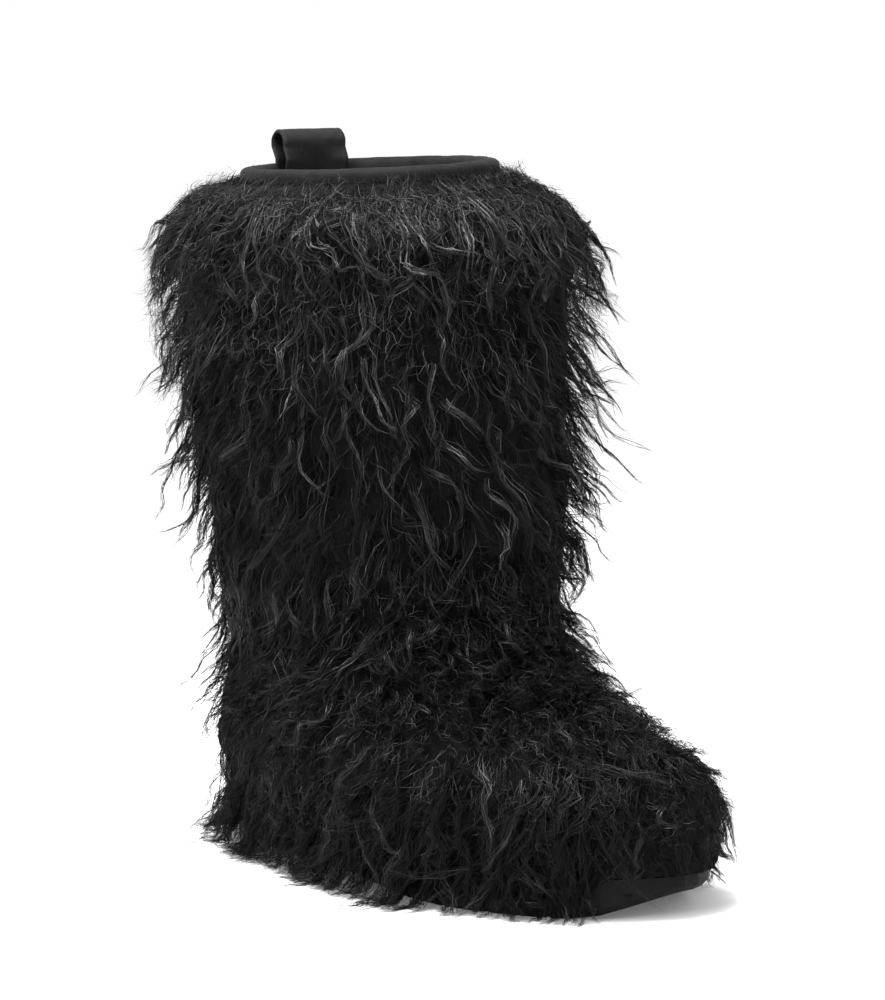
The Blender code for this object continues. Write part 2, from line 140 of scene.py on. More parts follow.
def newMaterial(name, colour, roughness, specular=0.5):
    material = bpy.data.materials.new(name)
    material.use_nodes = True
    shader = material.node_tree.nodes["Principled BSDF"]
    shader.inputs["Base Color"].default_value = (*colour, 1)
    shader.inputs["Roughness"].default_value = roughness
    shader.inputs["Specular IOR Level"].default_value = specular
    return material, material.node_tree, shader


def addColour(tree, shader, source, low, high, lowColour, highColour):
    ramp = tree.nodes.new("ShaderNodeValToRGB")
    ramp.color_ramp.elements[0].position = low
    ramp.color_ramp.elements[1].position = high
    ramp.color_ramp.elements[0].color = (*lowColour, 1)
    ramp.color_ramp.elements[1].color = (*highColour, 1)
    tree.links.new(source, ramp.inputs["Fac"])
    tree.links.new(ramp.outputs["Color"], shader.inputs["Base Color"])


def addPlace(tree, stretch=(1, 1, 1)):
    place = tree.nodes.new("ShaderNodeTexCoord")
    mapping = tree.nodes.new("ShaderNodeMapping")
    mapping.inputs["Scale"].default_value = stretch
    tree.links.new(place.outputs["Object"], mapping.inputs["Vector"])
    return mapping.outputs["Vector"]


def addNoise(tree, scale, detail=3.0, roughness=0.55, stretch=(1, 1, 1), distortion=0.0):
    noise = tree.nodes.new("ShaderNodeTexNoise")
    noise.inputs["Scale"].default_value = scale
    noise.inputs["Detail"].default_value = detail
    noise.inputs["Roughness"].default_value = roughness
    noise.inputs["Distortion"].default_value = distortion
    tree.links.new(addPlace(tree, stretch), noise.inputs["Vector"])
    return noise.outputs["Fac"]


def addBump(tree, shader, height, distance, strength=1.0, under=None):
    bump = tree.nodes.new("ShaderNodeBump")
    bump.inputs["Distance"].default_value = distance
    bump.inputs["Strength"].default_value = strength
    tree.links.new(height, bump.inputs["Height"])
    if under is not None:
        tree.links.new(under, bump.inputs["Normal"])
    tree.links.new(bump.outputs["Normal"], shader.inputs["Normal"])
    return bump.outputs["Normal"]


def addMapRange(tree, source, fromMin=0, fromMax=1, toMin=0, toMax=1):
    spread = tree.nodes.new("ShaderNodeMapRange")
    limits = {"From Min": fromMin, "From Max": fromMax, "To Min": toMin, "To Max": toMax}
    for socket, value in limits.items():
        spread.inputs[socket].default_value = value
    tree.links.new(source, spread.inputs["Value"])
    return spread.outputs["Result"]


def addProduct(tree, first, second):
    product = tree.nodes.new("ShaderNodeMath")
    product.operation = "MULTIPLY"
    tree.links.new(first, product.inputs[0])
    tree.links.new(second, product.inputs[1])
    return product.outputs["Value"]


def addAttribute(tree, name):
    attribute = tree.nodes.new("ShaderNodeAttribute")
    attribute.attribute_name = name
    return attribute.outputs["Fac"]


def addRoughness(tree, shader, source, low, high):
    tree.links.new(addMapRange(tree, source, toMin=low, toMax=high), shader.inputs["Roughness"])


# the hide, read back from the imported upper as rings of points

def upperMesh():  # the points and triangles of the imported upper, with points at one place made one
    mesh = nodes["upper"].data
    mesh.calc_loop_triangles()
    points = np.empty(len(mesh.vertices) * 3)
    mesh.vertices.foreach_get("co", points)
    faces = np.empty(len(mesh.loop_triangles) * 3, np.int32)
    mesh.loop_triangles.foreach_get("vertices", faces)
    points, where = np.unique(np.round(points.reshape(-1, 3), 6), axis=0, return_inverse=True)
    faces = where.reshape(-1)[faces].reshape(-1, 3)
    return points, faces[(faces != np.roll(faces, 1, axis=1)).all(axis=1)]


def outerFaces(points, faces):  # those that see out, without the level ones of the rim and the lower edge
    corners = points[faces]
    middle = corners.mean(axis=1)
    facing = unit(np.cross(corners[:, 1] - corners[:, 0], corners[:, 2] - corners[:, 0]))
    tree = BVHTree.FromPolygons(points.tolist(), faces.tolist())
    offFace, farAway = 2e-4, 0.5
    clear = np.array([tree.ray_cast(Vector(place + way * offFace), Vector(way), farAway)[0] is None
                      for place, way in zip(middle, facing)])
    level = np.abs(facing[:, 2]) > 0.93
    lowest, highest = 0.032, 0.285
    atEdge = (middle[:, 2] > highest) | (middle[:, 2] < lowest)
    return faces[clear & ~(level & atEdge)]


def ringAbove(ring, beside, used):  # the points that close a triangle on each step of this ring
    above = []
    for n, point in enumerate(ring):
        found = (beside[point] & beside[ring[(n + 1) % len(ring)]]) - used
        if len(found) != 1:
            return None
        above.append(found.pop())
    return above


def hideRings():
    points, faces = upperMesh()
    faces = outerFaces(points, faces)
    ends = np.concatenate([faces[:, [0, 1]], faces[:, [1, 2]], faces[:, [2, 0]]])
    _, first, count = np.unique(np.sort(ends, axis=1), axis=0, return_index=True, return_counts=True)
    lowEdge = {a: b for a, b in ends[first[count == 1]] if points[a][2] < 0.1}
    beside = {}
    for a, b in ends:
        beside.setdefault(a, set()).add(b)
        beside.setdefault(b, set()).add(a)
    start = min(lowEdge, key=lambda point: points[point][0])
    ring = [start]
    while lowEdge[ring[-1]] != start:
        ring.append(lowEdge[ring[-1]])
    rings, used = [ring], set(ring)
    above = ringAbove(ring, beside, used)
    while above:
        turns = [np.linalg.norm(points[np.roll(above, t)] - points[ring], axis=1).sum() for t in (-1, 0, 1)]
        ring = np.roll(above, (-1, 0, 1)[int(np.argmin(turns))]).tolist()
        rings.append(ring)
        used.update(ring)
        above = ringAbove(ring, beside, used)
    rings = points[np.array(rings)]
    if rings[0, 1, 1] > rings[0, -1, 1]:
        rings = np.roll(rings[:, ::-1], 1, axis=1)
    return rings


rings = hideRings()
hideFaces = BVHTree.FromPolygons(rings.reshape(-1, 3).tolist(), gridFaces(*rings.shape[:2]))
print("hide rings:", rings.shape[:2])


def blend(values, at, axis, closed):  # values between the rows or columns of a grid
    size = values.shape[axis]
    before = np.floor(at).astype(int)
    before = before if closed else np.clip(before, 0, size - 2)
    part = (at - before).reshape((-1,) + (1,) * (values.ndim - 1 - axis))
    pick = [(before + k) % size if closed else np.clip(before + k, 0, size - 1) for k in (-1, 0, 1, 2)]
    return curveBetween(*(np.take(values, k, axis=axis) for k in pick), part)


def smoothRings(rows, columns):  # places on a smooth surface through the rings, rows from 0 at the sole
    return blend(blend(rings, np.asarray(columns, float), 1, True), np.asarray(rows, float), 0, False)


def between(ring, at):  # places along a closed ring of points, at 1.5 halfway from its second to its third
    column, part = np.floor(at).astype(int) % len(ring), (at % 1)[:, None]
    return ring[column] * (1 - part) + ring[(column + 1) % len(ring)] * part


def hideWays(places):  # the directions that the hide's own faces point, nearest to each place
    return np.array([hideFaces.find_nearest(Vector(place))[1] for place in places])


def gridNormals(grid):  # outward directions on a grid whose columns run round
    out = unit(np.cross(np.roll(grid, -1, axis=1) - np.roll(grid, 1, axis=1), np.gradient(grid, axis=0)))
    # where the smooth surface folds at the instep, the hide's own faces say which way is out
    faceOut = hideWays(grid.reshape(-1, 3)).reshape(grid.shape)
    folded = ((out * faceOut).sum(axis=2) < 0.5)[..., None]
    out = np.where(folded, faceOut, out)
    softenings = 6
    for _ in range(softenings):
        around = out + np.roll(out, 1, axis=1) + np.roll(out, -1, axis=1)
        around[1:-1] += out[:-2] + out[2:]
        out = np.where(folded, unit(around), out)
    return out


def wallNormals(grid):  # the same, level along the lowest row
    out = gridNormals(grid)
    out[0, :, 2] = 0
    return unit(out)


def evenRows(step):  # rows spaced about this far apart, from the sole to the rim
    fine = np.linspace(0, rings.shape[0] - 1, 400)
    line = smoothRings(fine, np.arange(rings.shape[1]))
    gaps = np.linalg.norm(np.diff(line, axis=0), axis=2)
    along = np.concatenate([[0], np.cumsum(gaps.max(axis=1) * 0.5 + gaps.mean(axis=1) * 0.5)])
    return np.interp(np.linspace(0, along[-1], int(along[-1] / step) + 2), along, fine)


# fur

fur = {
    "seed": 7,
    "top": 0.2862,              # where the fur ends at the back, part way up the binding
    "footZone": (0.085, 0.12),  # heights over which the foot's fur passes into the shaft's
    "soleZone": (0.05, 0.075),  # heights over which the fur near the sole passes into the foot's
    "collarZone": (0.262, 0.278),
    "lockSpacing": 0.0068,      # between lock roots on the hide
    "fineSpacing": 0.0022,      # between the roots of fine hairs
    "strandsPerLock": 14,
    "paintedSheenShare": 0.22,        # share of the locks that are glossier and also painted lighter, a painted sheen
    "pointsPerStrand": 10,
    "lockWidth": 0.0030,        # half the width of a lock where it leaves the wool
    "strandWidth": 0.00038,
    "rimWidth": 0.00024,
    "frizzWidth": 0.58,         # of a curly hair, as a share of a strand's
    "pointsPerLock": 18,
    "strayShare": 0.10,         # share of the strands that leave their lock
    "mostWave": 0.0042,         # the widest wave of a lock
    "shaftLength": (0.030, 0.062),
    "footLength": (0.022, 0.042),
    "leastRise": 0.0034,        # no lock runs closer to the hide than this
    "pastBox": 0.007,           # hair that reaches further past the solid's box is drawn back
    "flare": 0.020,             # how far the boldest locks stand off at their tips
    "lean": 16,                 # degrees that locks lean off their fall
    "hook": 50,                 # degrees that their tips turn further
    "startShare": 0.48,         # share of the coat's thickness at which most locks start
    "woolShare": 0.66,          # the share that is dense dark wool
    "lumps": 0.0028,            # how far broad lumps stand proud
    "hollows": 0.0024,          # the same for small ones
    "fuzz": 9500,               # short fine hairs between the locks, at most
    "frizz": 15500,             # curly hairs over the shoulder, up to the binding
    "collarLocks": 330,         # extra locks right under the binding, at most
    "hemLocks": 380,            # the same at the hem, down to the floor
    "rimHairs": 4200,           # curly hairs against the binding
    "instepLocks": 230,         # extra locks over the foot, at most
}

# height, then the coat's thickness at the back, on the outer side, on the inner side, and in front or on top
coatSections = np.array([
    (0.000, 0.0125, 0.0185, 0.0185, 0.0100),
    (0.027, 0.0125, 0.0185, 0.0185, 0.0100),
    (0.050, 0.0161, 0.0207, 0.0225, 0.0150),
    (0.080, 0.0181, 0.0222, 0.0290, 0.0225),
    (0.114, 0.0240, 0.0280, 0.0410, 0.0400),
    (0.134, 0.0290, 0.0325, 0.0470, 0.0480),
    (0.154, 0.0340, 0.0365, 0.0480, 0.0500),
    (0.194, 0.0400, 0.0415, 0.0475, 0.0500),
    (0.235, 0.0425, 0.0435, 0.0465, 0.0470),
    (0.254, 0.0410, 0.0415, 0.0440, 0.0430),
    (0.270, 0.0360, 0.0365, 0.0375, 0.0365),
    (0.2815, 0.0250, 0.0255, 0.0265, 0.0255),
    (0.290, 0.0100, 0.0100, 0.0100, 0.0100),
])


def coatThickness(places, out):
    height, x = places[:, 2], places[:, 0]
    level, *thickness = coatSections.T
    back, outer, inner, front = (np.interp(height, level, column) for column in thickness)
    sides = outer + (inner - outer) * smoothStep(-0.3, 0.3, out[:, 1])
    towardsSole = np.clip((0.110 - height) / 0.070, 0, 1)
    waist = np.sin(math.pi * np.clip((x + 0.020) / 0.210, 0, 1)) ** 2
    sides = sides * (1 - 0.35 * smoothStep(0.130, 0.190, x)) + 0.013 * towardsSole * waist
    facing = out ** 2
    depth = facing[:, 0] * np.where(out[:, 0] < 0, back, front) + facing[:, 1] * sides + facing[:, 2] * front
    lumps = fur["lumps"] * softNoise(places, 0.030, 3) + fur["hollows"] * softNoise(places, 0.012, 4)
    return depth + lumps * np.minimum(depth / 0.02, 1)


def footShare(height):  # 1 on the foot, 0 on the shaft
    return 1 - smoothStep(*fur["footZone"], height)


def toeShare(places):  # 1 at the toe, where the fur is short enough to show the sole
    return smoothStep(0.205, 0.221, places[..., 0] + 0.35 * places[..., 1])


wallRows = evenRows(0.004)
wallGrid = smoothRings(wallRows, np.arange(0, rings.shape[1], 0.25))
wallOut = wallNormals(wallGrid)
skirtGrid = np.vstack([wallGrid[:1] - np.array([0, 0, 0.06]), wallGrid])
wallTree = BVHTree.FromPolygons(skirtGrid.reshape(-1, 3).tolist(), gridFaces(*skirtGrid.shape[:2]))


def standOff(places, out, height):  # places this far off the hide, none of them on its inside
    raised = places + out * height[:, None]
    for n, place in enumerate(raised):
        near, normal = hideFaces.find_nearest(Vector(place))[:2]
        if (Vector(place) - near).dot(normal) < -0.0005:
            raised[n] = places[n] + hideWays(places[n:n + 1])[0] * height[n]
    return raised


def nearHide(places):  # closest places on the hide and the directions out of it
    near = np.array([wallTree.find_nearest(Vector(place))[0] for place in places])
    return near, unit(places - near)


def fallAt(places, near, out):  # the way the fur lies: down, forwards on the foot, outwards along the floor
    forward = 0.85 * smoothStep(0.25, 0.85, out[:, 2]) * (1 - smoothStep(0.10, 0.14, near[:, 2]))
    pull = np.column_stack([forward, np.zeros(len(near)), -np.ones(len(near))])
    fall = unit(pull - (pull * out).sum(axis=1, keepdims=True) * out)
    level = unit(out * np.array([1, 1, 0]))
    rest = (1 - smoothStep(0.001, 0.011, places[:, 2]))[:, None]
    return unit(fall * (1 - rest) + level * rest)


def turned(vectors, axes, angles):
    c, s = np.cos(angles)[:, None], np.sin(angles)[:, None]
    share = (vectors * axes).sum(axis=1, keepdims=True)
    return vectors * c + np.cross(axes, vectors) * s + axes * share * (1 - c)


def scatterRoots(spacing, rng):  # places on the hide, never closer together than spacing
    last = np.argmax(wallGrid[:, 0, 2] > fur["top"])
    below, above = wallGrid[:last - 1], wallGrid[1:last]
    area = np.linalg.norm(np.cross(np.roll(below, -1, axis=1) - below, above - below), axis=2)
    columns = area.shape[1]
    tries = int(area.sum() / spacing ** 2 * 6)
    chosen = rng.choice(area.size, tries, p=area.ravel() / area.sum())
    r, c = chosen // columns, chosen % columns
    d = (c + 1) % columns
    u, v = rng.random(tries)[:, None], rng.random(tries)[:, None]

    def mix(grid):
        lower, upper = grid[r, c] * (1 - u) + grid[r, d] * u, grid[r + 1, c] * (1 - u) + grid[r + 1, d] * u
        return lower * (1 - v) + upper * v

    places, out = mix(wallGrid), unit(mix(wallOut))
    cells, kept = {}, []
    cellOf = np.floor(places / spacing).astype(int)
    for n, place in enumerate(places):
        x, y, z = cellOf[n]
        around = [m for dx in (-1, 0, 1) for dy in (-1, 0, 1) for dz in (-1, 0, 1)
                  for m in cells.get((x + dx, y + dy, z + dz), ())]
        if around and ((places[around] - place) ** 2).sum(axis=1).min() < spacing ** 2:
            continue
        cells.setdefault((x, y, z), []).append(n)
        kept.append(n)
    return places[kept], out[kept]


def growLocks(roots, out, length, endShare, lift, lean, hook, curl, steps, startShare):
    # the middle line of each lock: out of the wool, over, and down to a tip
    depth = coatThickness(roots, out)
    places = standOff(roots, out, np.maximum(depth * startShare, fur["leastRise"]))
    path = []
    step = length / (steps - 1)
    for k in range(steps):
        near, out = nearHide(places)
        depth = coatThickness(near, out)
        along = k / (steps - 1)
        rise = startShare + (endShare - startShare) * (1 - (1 - along) ** 1.3)
        height = np.maximum(depth * rise, fur["leastRise"]) + lift * along ** 1.3 + curl * along ** 3
        places = near + out * np.maximum(height, fur["leastRise"])[:, None]
        places[:, 2] = np.maximum(places[:, 2], 0.0012)
        path.append(places.copy())
        bend = lean * (0.5 + 0.7 * along) + hook * along ** 2
        places = places + turned(fallAt(places, near, out), out, bend) * step[:, None]
    return np.stack(path, axis=1)


def resample(path, start, end, steps):  # points of each line between two shares of its length
    at = (start[:, None] + (end - start)[:, None] * np.linspace(0, 1, steps)[None, :]) * (path.shape[1] - 1)
    at = np.clip(at, 0, path.shape[1] - 1.001)
    before = np.floor(at).astype(int)
    rows = np.arange(len(path))[:, None]
    p, q = path[rows, np.maximum(before - 1, 0)], path[rows, before]
    r, s = path[rows, before + 1], path[rows, np.minimum(before + 2, path.shape[1] - 1)]
    return curveBetween(p, q, r, s, (at - before)[..., None])


def ribbonPiece(name, middle, across, width, tone, material):
    # a flat tapering ribbon along each line, ending in a point
    count, steps = middle.shape[:2]
    left = middle - across * width[..., None] / 2
    right = middle + across * width[..., None] / 2
    points = np.stack([left[:, :-1], right[:, :-1]], axis=2).reshape(count, -1, 3)
    points = np.concatenate([points, middle[:, -1:]], axis=1)
    each = points.shape[1]
    start = (np.arange(count) * each)[:, None]
    k = np.arange(steps - 2)
    quads = np.stack([2 * k, 2 * k + 1, 2 * k + 3, 2 * k + 2], axis=1)
    quads = (start[:, :, None] + quads[None]).reshape(-1, 4)
    tips = (start + np.array([[2 * (steps - 2), 2 * (steps - 2) + 1, each - 1]])).reshape(-1, 3)
    points = points.reshape(-1, 3)
    points[:, 2] = np.maximum(points[:, 2], 0.0006)
    mesh = bpy.data.meshes.new(name)
    mesh.vertices.add(len(points))
    mesh.vertices.foreach_set("co", points.astype(np.float32).ravel())
    mesh.loops.add(quads.size + tips.size)
    mesh.loops.foreach_set("vertex_index", np.concatenate([quads.ravel(), tips.ravel()]).astype(np.int32))
    totals = np.concatenate([np.full(len(quads), 4), np.full(len(tips), 3)])
    mesh.polygons.add(len(totals))
    mesh.polygons.foreach_set("loop_start", np.concatenate([[0], np.cumsum(totals)[:-1]]).astype(np.int32))
    mesh.polygons.foreach_set("use_smooth", np.ones(len(totals), bool))
    mesh.update()
    mesh.validate()
    mesh.materials.append(material)
    piece = addObject(name, mesh)
    cells = int(math.ceil(math.sqrt(count)))
    along = np.concatenate([np.repeat(np.linspace(0, 1, steps)[:-1], 2), [1.0]])
    sideways = np.concatenate([np.tile([0.0, 1.0], steps - 1), [0.5]])
    u = ((np.arange(count) % cells)[:, None] + 0.15 + 0.7 * sideways[None]) / cells
    v = ((np.arange(count) // cells)[:, None] + 0.08 + 0.84 * along[None]) / cells
    bakeLayout(piece, u.ravel(), v.ravel())
    for key, values in (("tone", np.repeat(tone, each)), ("along", np.tile(along, count))):
        store = mesh.attributes.new(key, "FLOAT", "POINT")
        store.data.foreach_set("value", values.astype(np.float32))
    return piece


def heldIn(points):  # hair ends that reach far past the solid's box drawn about halfway back towards it
    low, high = (np.array(corner) for corner in cadBounds)
    beyond = np.maximum(points - high, 0) - np.maximum(low - points, 0)
    excess = np.maximum(np.abs(beyond) - fur["pastBox"], 0)
    return points - np.sign(beyond) * excess * 0.55


def curlyLines(start, off, radius, bend, rise, steps, rng):
    # short hairs that curl as they stand off a surface: their lines, breadth directions and relative widths
    across = unit(np.cross(off, rng.normal(0, 1, off.shape)))
    third = np.cross(off, across)
    angles = np.linspace(0, 1, steps)[None] * bend[:, None]
    lines = start[:, None] + across[:, None] * (radius[:, None] * (np.cos(angles) - 1))[..., None]
    lines = lines + third[:, None] * (radius[:, None] * np.sin(angles))[..., None]
    lines = lines + off[:, None] * (rise[:, None] * np.linspace(0, 1, steps)[None])[..., None]
    breadth = np.repeat(unit(across * 0.6 + off * 0.8)[:, None], steps, axis=1)
    taper = np.clip(1.15 - np.linspace(0, 1, steps) ** 1.6, 0, 1)
    return lines, breadth, rng.uniform(0.8, 1.3, len(start))[:, None] * taper[None]


def strandMaterial(name, dark, light, roughness, specular):
    material, tree, shader = newMaterial(name, dark, roughness, specular)
    # lighter and darker stretches along each strand, and painted shade darkening it where it leaves the wool
    flecks = addMapRange(tree, addNoise(tree, 230, 3, 0.6, (1, 1, 0.7)),
                         fromMin=0.32, fromMax=0.68, toMin=0.15, toMax=1.35)
    paintedRootShade = addMapRange(tree, addAttribute(tree, "along"), fromMin=0.10, fromMax=0.55, toMin=0.12)
    shade = addProduct(tree, addProduct(tree, addAttribute(tree, "tone"), flecks), paintedRootShade)
    addColour(tree, shader, shade, 0.05, 1.0, dark, light)
    addRoughness(tree, shader, addNoise(tree, 500, 2, 0.6), roughness - 0.08, roughness + 0.16)
    return material


def strandLines(path, lockOf, looseness, start, end, steps, rng, crimpiness=1.0):
    # strands that bend together inside their lock and meet at its tip
    locks, total = len(path), len(lockOf)
    middle = resample(path[lockOf], start, end, steps)
    _, lockOut = nearHide(path[:, path.shape[1] // 2])
    way = unit(np.gradient(middle, axis=1))
    side = unit(np.cross(lockOut[lockOf][:, None, :], way))
    out = np.cross(way, side)
    along = start[:, None] + (end - start)[:, None] * np.linspace(0, 1, steps)[None]

    # where each strand lies across its lock
    angle = rng.uniform(0, 2 * math.pi, total)
    radius = fur["lockWidth"] * looseness * np.sqrt(rng.random(total))
    radius = radius * rng.uniform(0.5, 1.35, locks)[lockOf]
    tight = rng.beta(5, 1.6, locks)[lockOf][:, None]
    swell = 0.55 + 0.45 * np.sin(math.pi * np.minimum(along * 1.4 + 0.15, 1))
    gather = swell * (1 - tight * smoothStep(0.15, 0.98, along))
    stray = (rng.random(total) < fur["strayShare"])[:, None]
    gather = np.where(stray, 1 + 0.8 * along, gather)

    # the wave of the whole lock, and each strand's own fine crimp
    reach = np.linalg.norm(np.diff(path, axis=1), axis=2).sum(axis=1)[lockOf]
    distance = along * reach[:, None]
    foot = footShare(path[lockOf, 0, 2])[:, None]
    wave = rng.uniform(0.018, 0.036, locks)[lockOf] * rng.uniform(0.95, 1.05, total)
    wave = wave[:, None] * (1 - 0.42 * foot)
    phase = (rng.uniform(0, 6.28, locks)[lockOf] + rng.normal(0, 0.30, total))[:, None]
    swing = 2 * math.pi * distance / wave + phase
    size = (rng.gamma(2.2, 0.0008, locks)[lockOf] * rng.uniform(0.8, 1.2, total))[:, None]
    size = np.minimum(size, fur["mostWave"]) * (0.25 + 0.75 * smoothStep(0, 0.6, along))
    hand = np.sign(rng.random(locks) - 0.5)[lockOf][:, None]
    crimp = rng.uniform(0.006, 0.012, total)[:, None]
    crimpSwing = 2 * math.pi * distance / crimp + rng.uniform(0, 6.28, total)[:, None]
    crimpSize = rng.uniform(0.00010, 0.00060, total)[:, None] * crimpiness * (1 + 0.6 * foot)
    sideways = (radius * np.cos(angle))[:, None] * gather + size * np.sin(swing)
    sideways = sideways + crimpSize * np.sin(crimpSwing)
    outwards = (radius * np.sin(angle) * 0.5)[:, None] * gather + hand * size * 0.8 * np.cos(swing)
    straying = stray * rng.uniform(0, 0.005, total)[:, None] * along ** 1.6
    outwards = outwards + crimpSize * np.cos(crimpSwing) + straying
    lines = heldIn(middle + side * sideways[..., None] + out * outwards[..., None])
    lines[..., 2] = np.maximum(lines[..., 2], 0.0008 + 0.002 * rng.random(total)[:, None])

    # the ribbon's twist, width and tone
    way = unit(np.gradient(lines, axis=1))
    side = unit(np.cross(out, way))
    out = np.cross(way, side)
    twist = rng.normal(0, 0.6, total)[:, None] + rng.normal(0, 0.9, total)[:, None] * along
    across = side * np.cos(twist)[..., None] + out * np.sin(twist)[..., None]
    taper = np.clip(1.12 - np.linspace(0, 1, steps) ** 1.8, 0, 1)
    width = fur["strandWidth"] * rng.uniform(0.7, 1.35, total)[:, None] * taper[None] * (1 - 0.16 * foot)
    tone = np.clip(0.6 * rng.random(locks)[lockOf] + 0.4 * rng.random(total), 0, 1) ** 1.8
    tone = np.clip(tone * (1 + 0.9 * softNoise(lines[:, steps // 2], 0.014, 91)), 0, 1)
    rootZ = lines[:, 0, 2]
    # painted light: strands rooted higher up the boot get lighter tones, darkest on the foot and lightest on
    # the upper shaft, as if lit from above
    paintedTopLight = 0.48 + 0.52 * smoothStep(0.085, 0.130, rootZ) + 0.55 * smoothStep(0.150, 0.220, rootZ)
    return lines, across, width, np.clip(tone * paintedTopLight, 0, 1)


rng = np.random.default_rng(fur["seed"])
strandBlack = strandMaterial("furStrands", (0.0010, 0.0010, 0.0011), (0.0076, 0.0076, 0.0080), 0.42, 0.10)
# painted sheen: these locks' colour runs to a lighter grey than the black strands', standing in for the
# light they catch, besides their real stronger specular and lower roughness
strandPaintedSheen = strandMaterial("furPaintedSheen", (0.0030, 0.0030, 0.0032), (0.0250, 0.0246, 0.0246), 0.34, 0.24)
frizzBlack = strandMaterial("furFrizz", (0.0020, 0.0020, 0.0022), (0.0195, 0.0195, 0.0200), 0.45, 0.20)

# lock roots all over, then extra ones under the binding, over the instep and at the hem
roots, rootOut = scatterRoots(fur["lockSpacing"], rng)
dense, denseOut = scatterRoots(fur["fineSpacing"], rng)
order = rng.permutation(len(dense))
dense, denseOut = dense[order], denseOut[order]
denseZ = dense[:, 2]
onTop = (denseOut[:, 2] > 0.25) & (denseZ < 0.120) & (denseZ > 0.050)
atCollar = np.flatnonzero(denseZ > 0.277)[:fur["collarLocks"]]
atHem = np.flatnonzero((denseZ < 0.052) & (toeShare(dense) < 0.3))[:fur["hemLocks"]]
atInstep = np.flatnonzero(onTop)[:fur["instepLocks"]]
extra = np.concatenate([atCollar, atInstep, atHem])
roots = np.concatenate([roots, dense[extra]])
rootOut = np.concatenate([rootOut, denseOut[extra]])
rootHeight = roots[:, 2]
locks = len(roots)
onFoot = footShare(rootHeight)
nearSole = 1 - smoothStep(*fur["soleZone"], rootHeight)
toe = toeShare(roots) * nearSole
collar = smoothStep(*fur["collarZone"], rootHeight)
isHem = np.arange(locks) >= locks - len(atHem)

# how long they are: short over the toe, down to the floor elsewhere along the sole
shaftLength, footLength = rng.uniform(*fur["shaftLength"], locks), rng.uniform(*fur["footLength"], locks)
length = shaftLength * (1 - onFoot) + footLength * onFoot
toeLength = np.maximum(rootHeight - 0.003 - 0.010 * toe, 0.006) * rng.uniform(0.95, 1.2, locks)
length = np.where(toe > 0.05, np.minimum(length, toeLength), length)
toFloor = rootHeight + rng.uniform(-0.002, 0.014, locks)
length = np.where((nearSole > 0.5) & (toe <= 0.05), np.maximum(length, toFloor), length)
hemTuft = smoothStep(0.05, 0.55, softNoise(roots, 0.022, 79))
hemLength = rootHeight + rng.uniform(0.004, 0.018, locks) + hemTuft * rng.uniform(0.008, 0.036, locks)
length = np.where(isHem, hemLength, length)
length *= 1 - 0.45 * collar * rng.random(locks) ** 1.5

# how far they stand off, lean and curl
tuft = smoothStep(-0.1, 0.6, softNoise(roots, 0.020, 77)) * rng.random(locks) ** 0.4
boldShare, boldHeelShare = 0.13, 0.30
tuft = np.maximum(tuft, (rng.random(locks) < boldShare) * rng.uniform(0.5, 1.0, locks))
atHeel = onFoot * (1 - smoothStep(0.02, 0.09, roots[:, 0]))
tuft = np.maximum(tuft, atHeel * (rng.random(locks) < boldHeelShare) * rng.uniform(0.5, 1.0, locks))
flare = fur["flare"] * tuft * (1 - 0.5 * onFoot + 0.55 * atHeel) * (1 - 0.6 * collar)
lift = rng.uniform(-0.002, 0.003, locks) + flare
lift = np.where(isHem, 0.004 * tuft, lift)
endShare = rng.uniform(0.82, 1.10, locks) + 0.10 * isHem - 0.12 * atHeel
startShare = fur["startShare"] + collar * (rng.uniform(0.66, 1.02, locks) - fur["startShare"])
unruly = 1 + collar + 0.4 * onFoot + 0.45 * nearSole
lean = np.radians(fur["lean"]) * (1.3 * softNoise(roots, 0.035, 21) + rng.normal(0, 0.9, locks) * unruly)
hook = np.radians(fur["hook"]) * rng.normal(0, 1, locks) * (1 - 0.25 * nearSole)
curl = rng.normal(0, 0.0035, locks) * (1 - 0.4 * onFoot)
hemCurl = rng.uniform(0.001, 0.007, locks) + hemTuft * rng.uniform(0.004, 0.024, locks)
curl = np.where(isHem, hemCurl, curl)
path = growLocks(roots, rootOut, length, endShare, lift, lean, hook, curl, fur["pointsPerLock"], startShare)
# painted sheen: more of the lighter locks high on the shaft where the top light falls, fewer on the foot and
# at the hem
paintedSheenHere = fur["paintedSheenShare"] * (1 + 1.2 * softNoise(roots, 0.035, 78))
paintedSheenHere = paintedSheenHere * (1 + 0.9 * smoothStep(0.16, 0.23, rootHeight))
paintedSheenHere = paintedSheenHere * (1 - 0.6 * onFoot) * (1 - 0.6 * isHem)
paintedSheen = rng.random(locks) < paintedSheenHere
print("locks:", locks)

steps = fur["pointsPerStrand"]
lockOf = np.repeat(np.arange(locks), fur["strandsPerLock"])
total = len(lockOf)
strandStart, strandEnd = rng.uniform(0.0, 0.10, total), rng.uniform(0.78, 1.0, total) ** 0.7
lines, across, width, tone = strandLines(path, lockOf, 1.0, strandStart, strandEnd, steps, rng)
print("strands:", total, "triangles:", total * (2 * (steps - 2) + 1))


def singleHairs(path, steps, crimpiness=1.0):  # one strand on each line, from end to end
    count = len(path)
    return strandLines(path, np.arange(count), 0.2, np.zeros(count), np.ones(count), steps, rng, crimpiness)


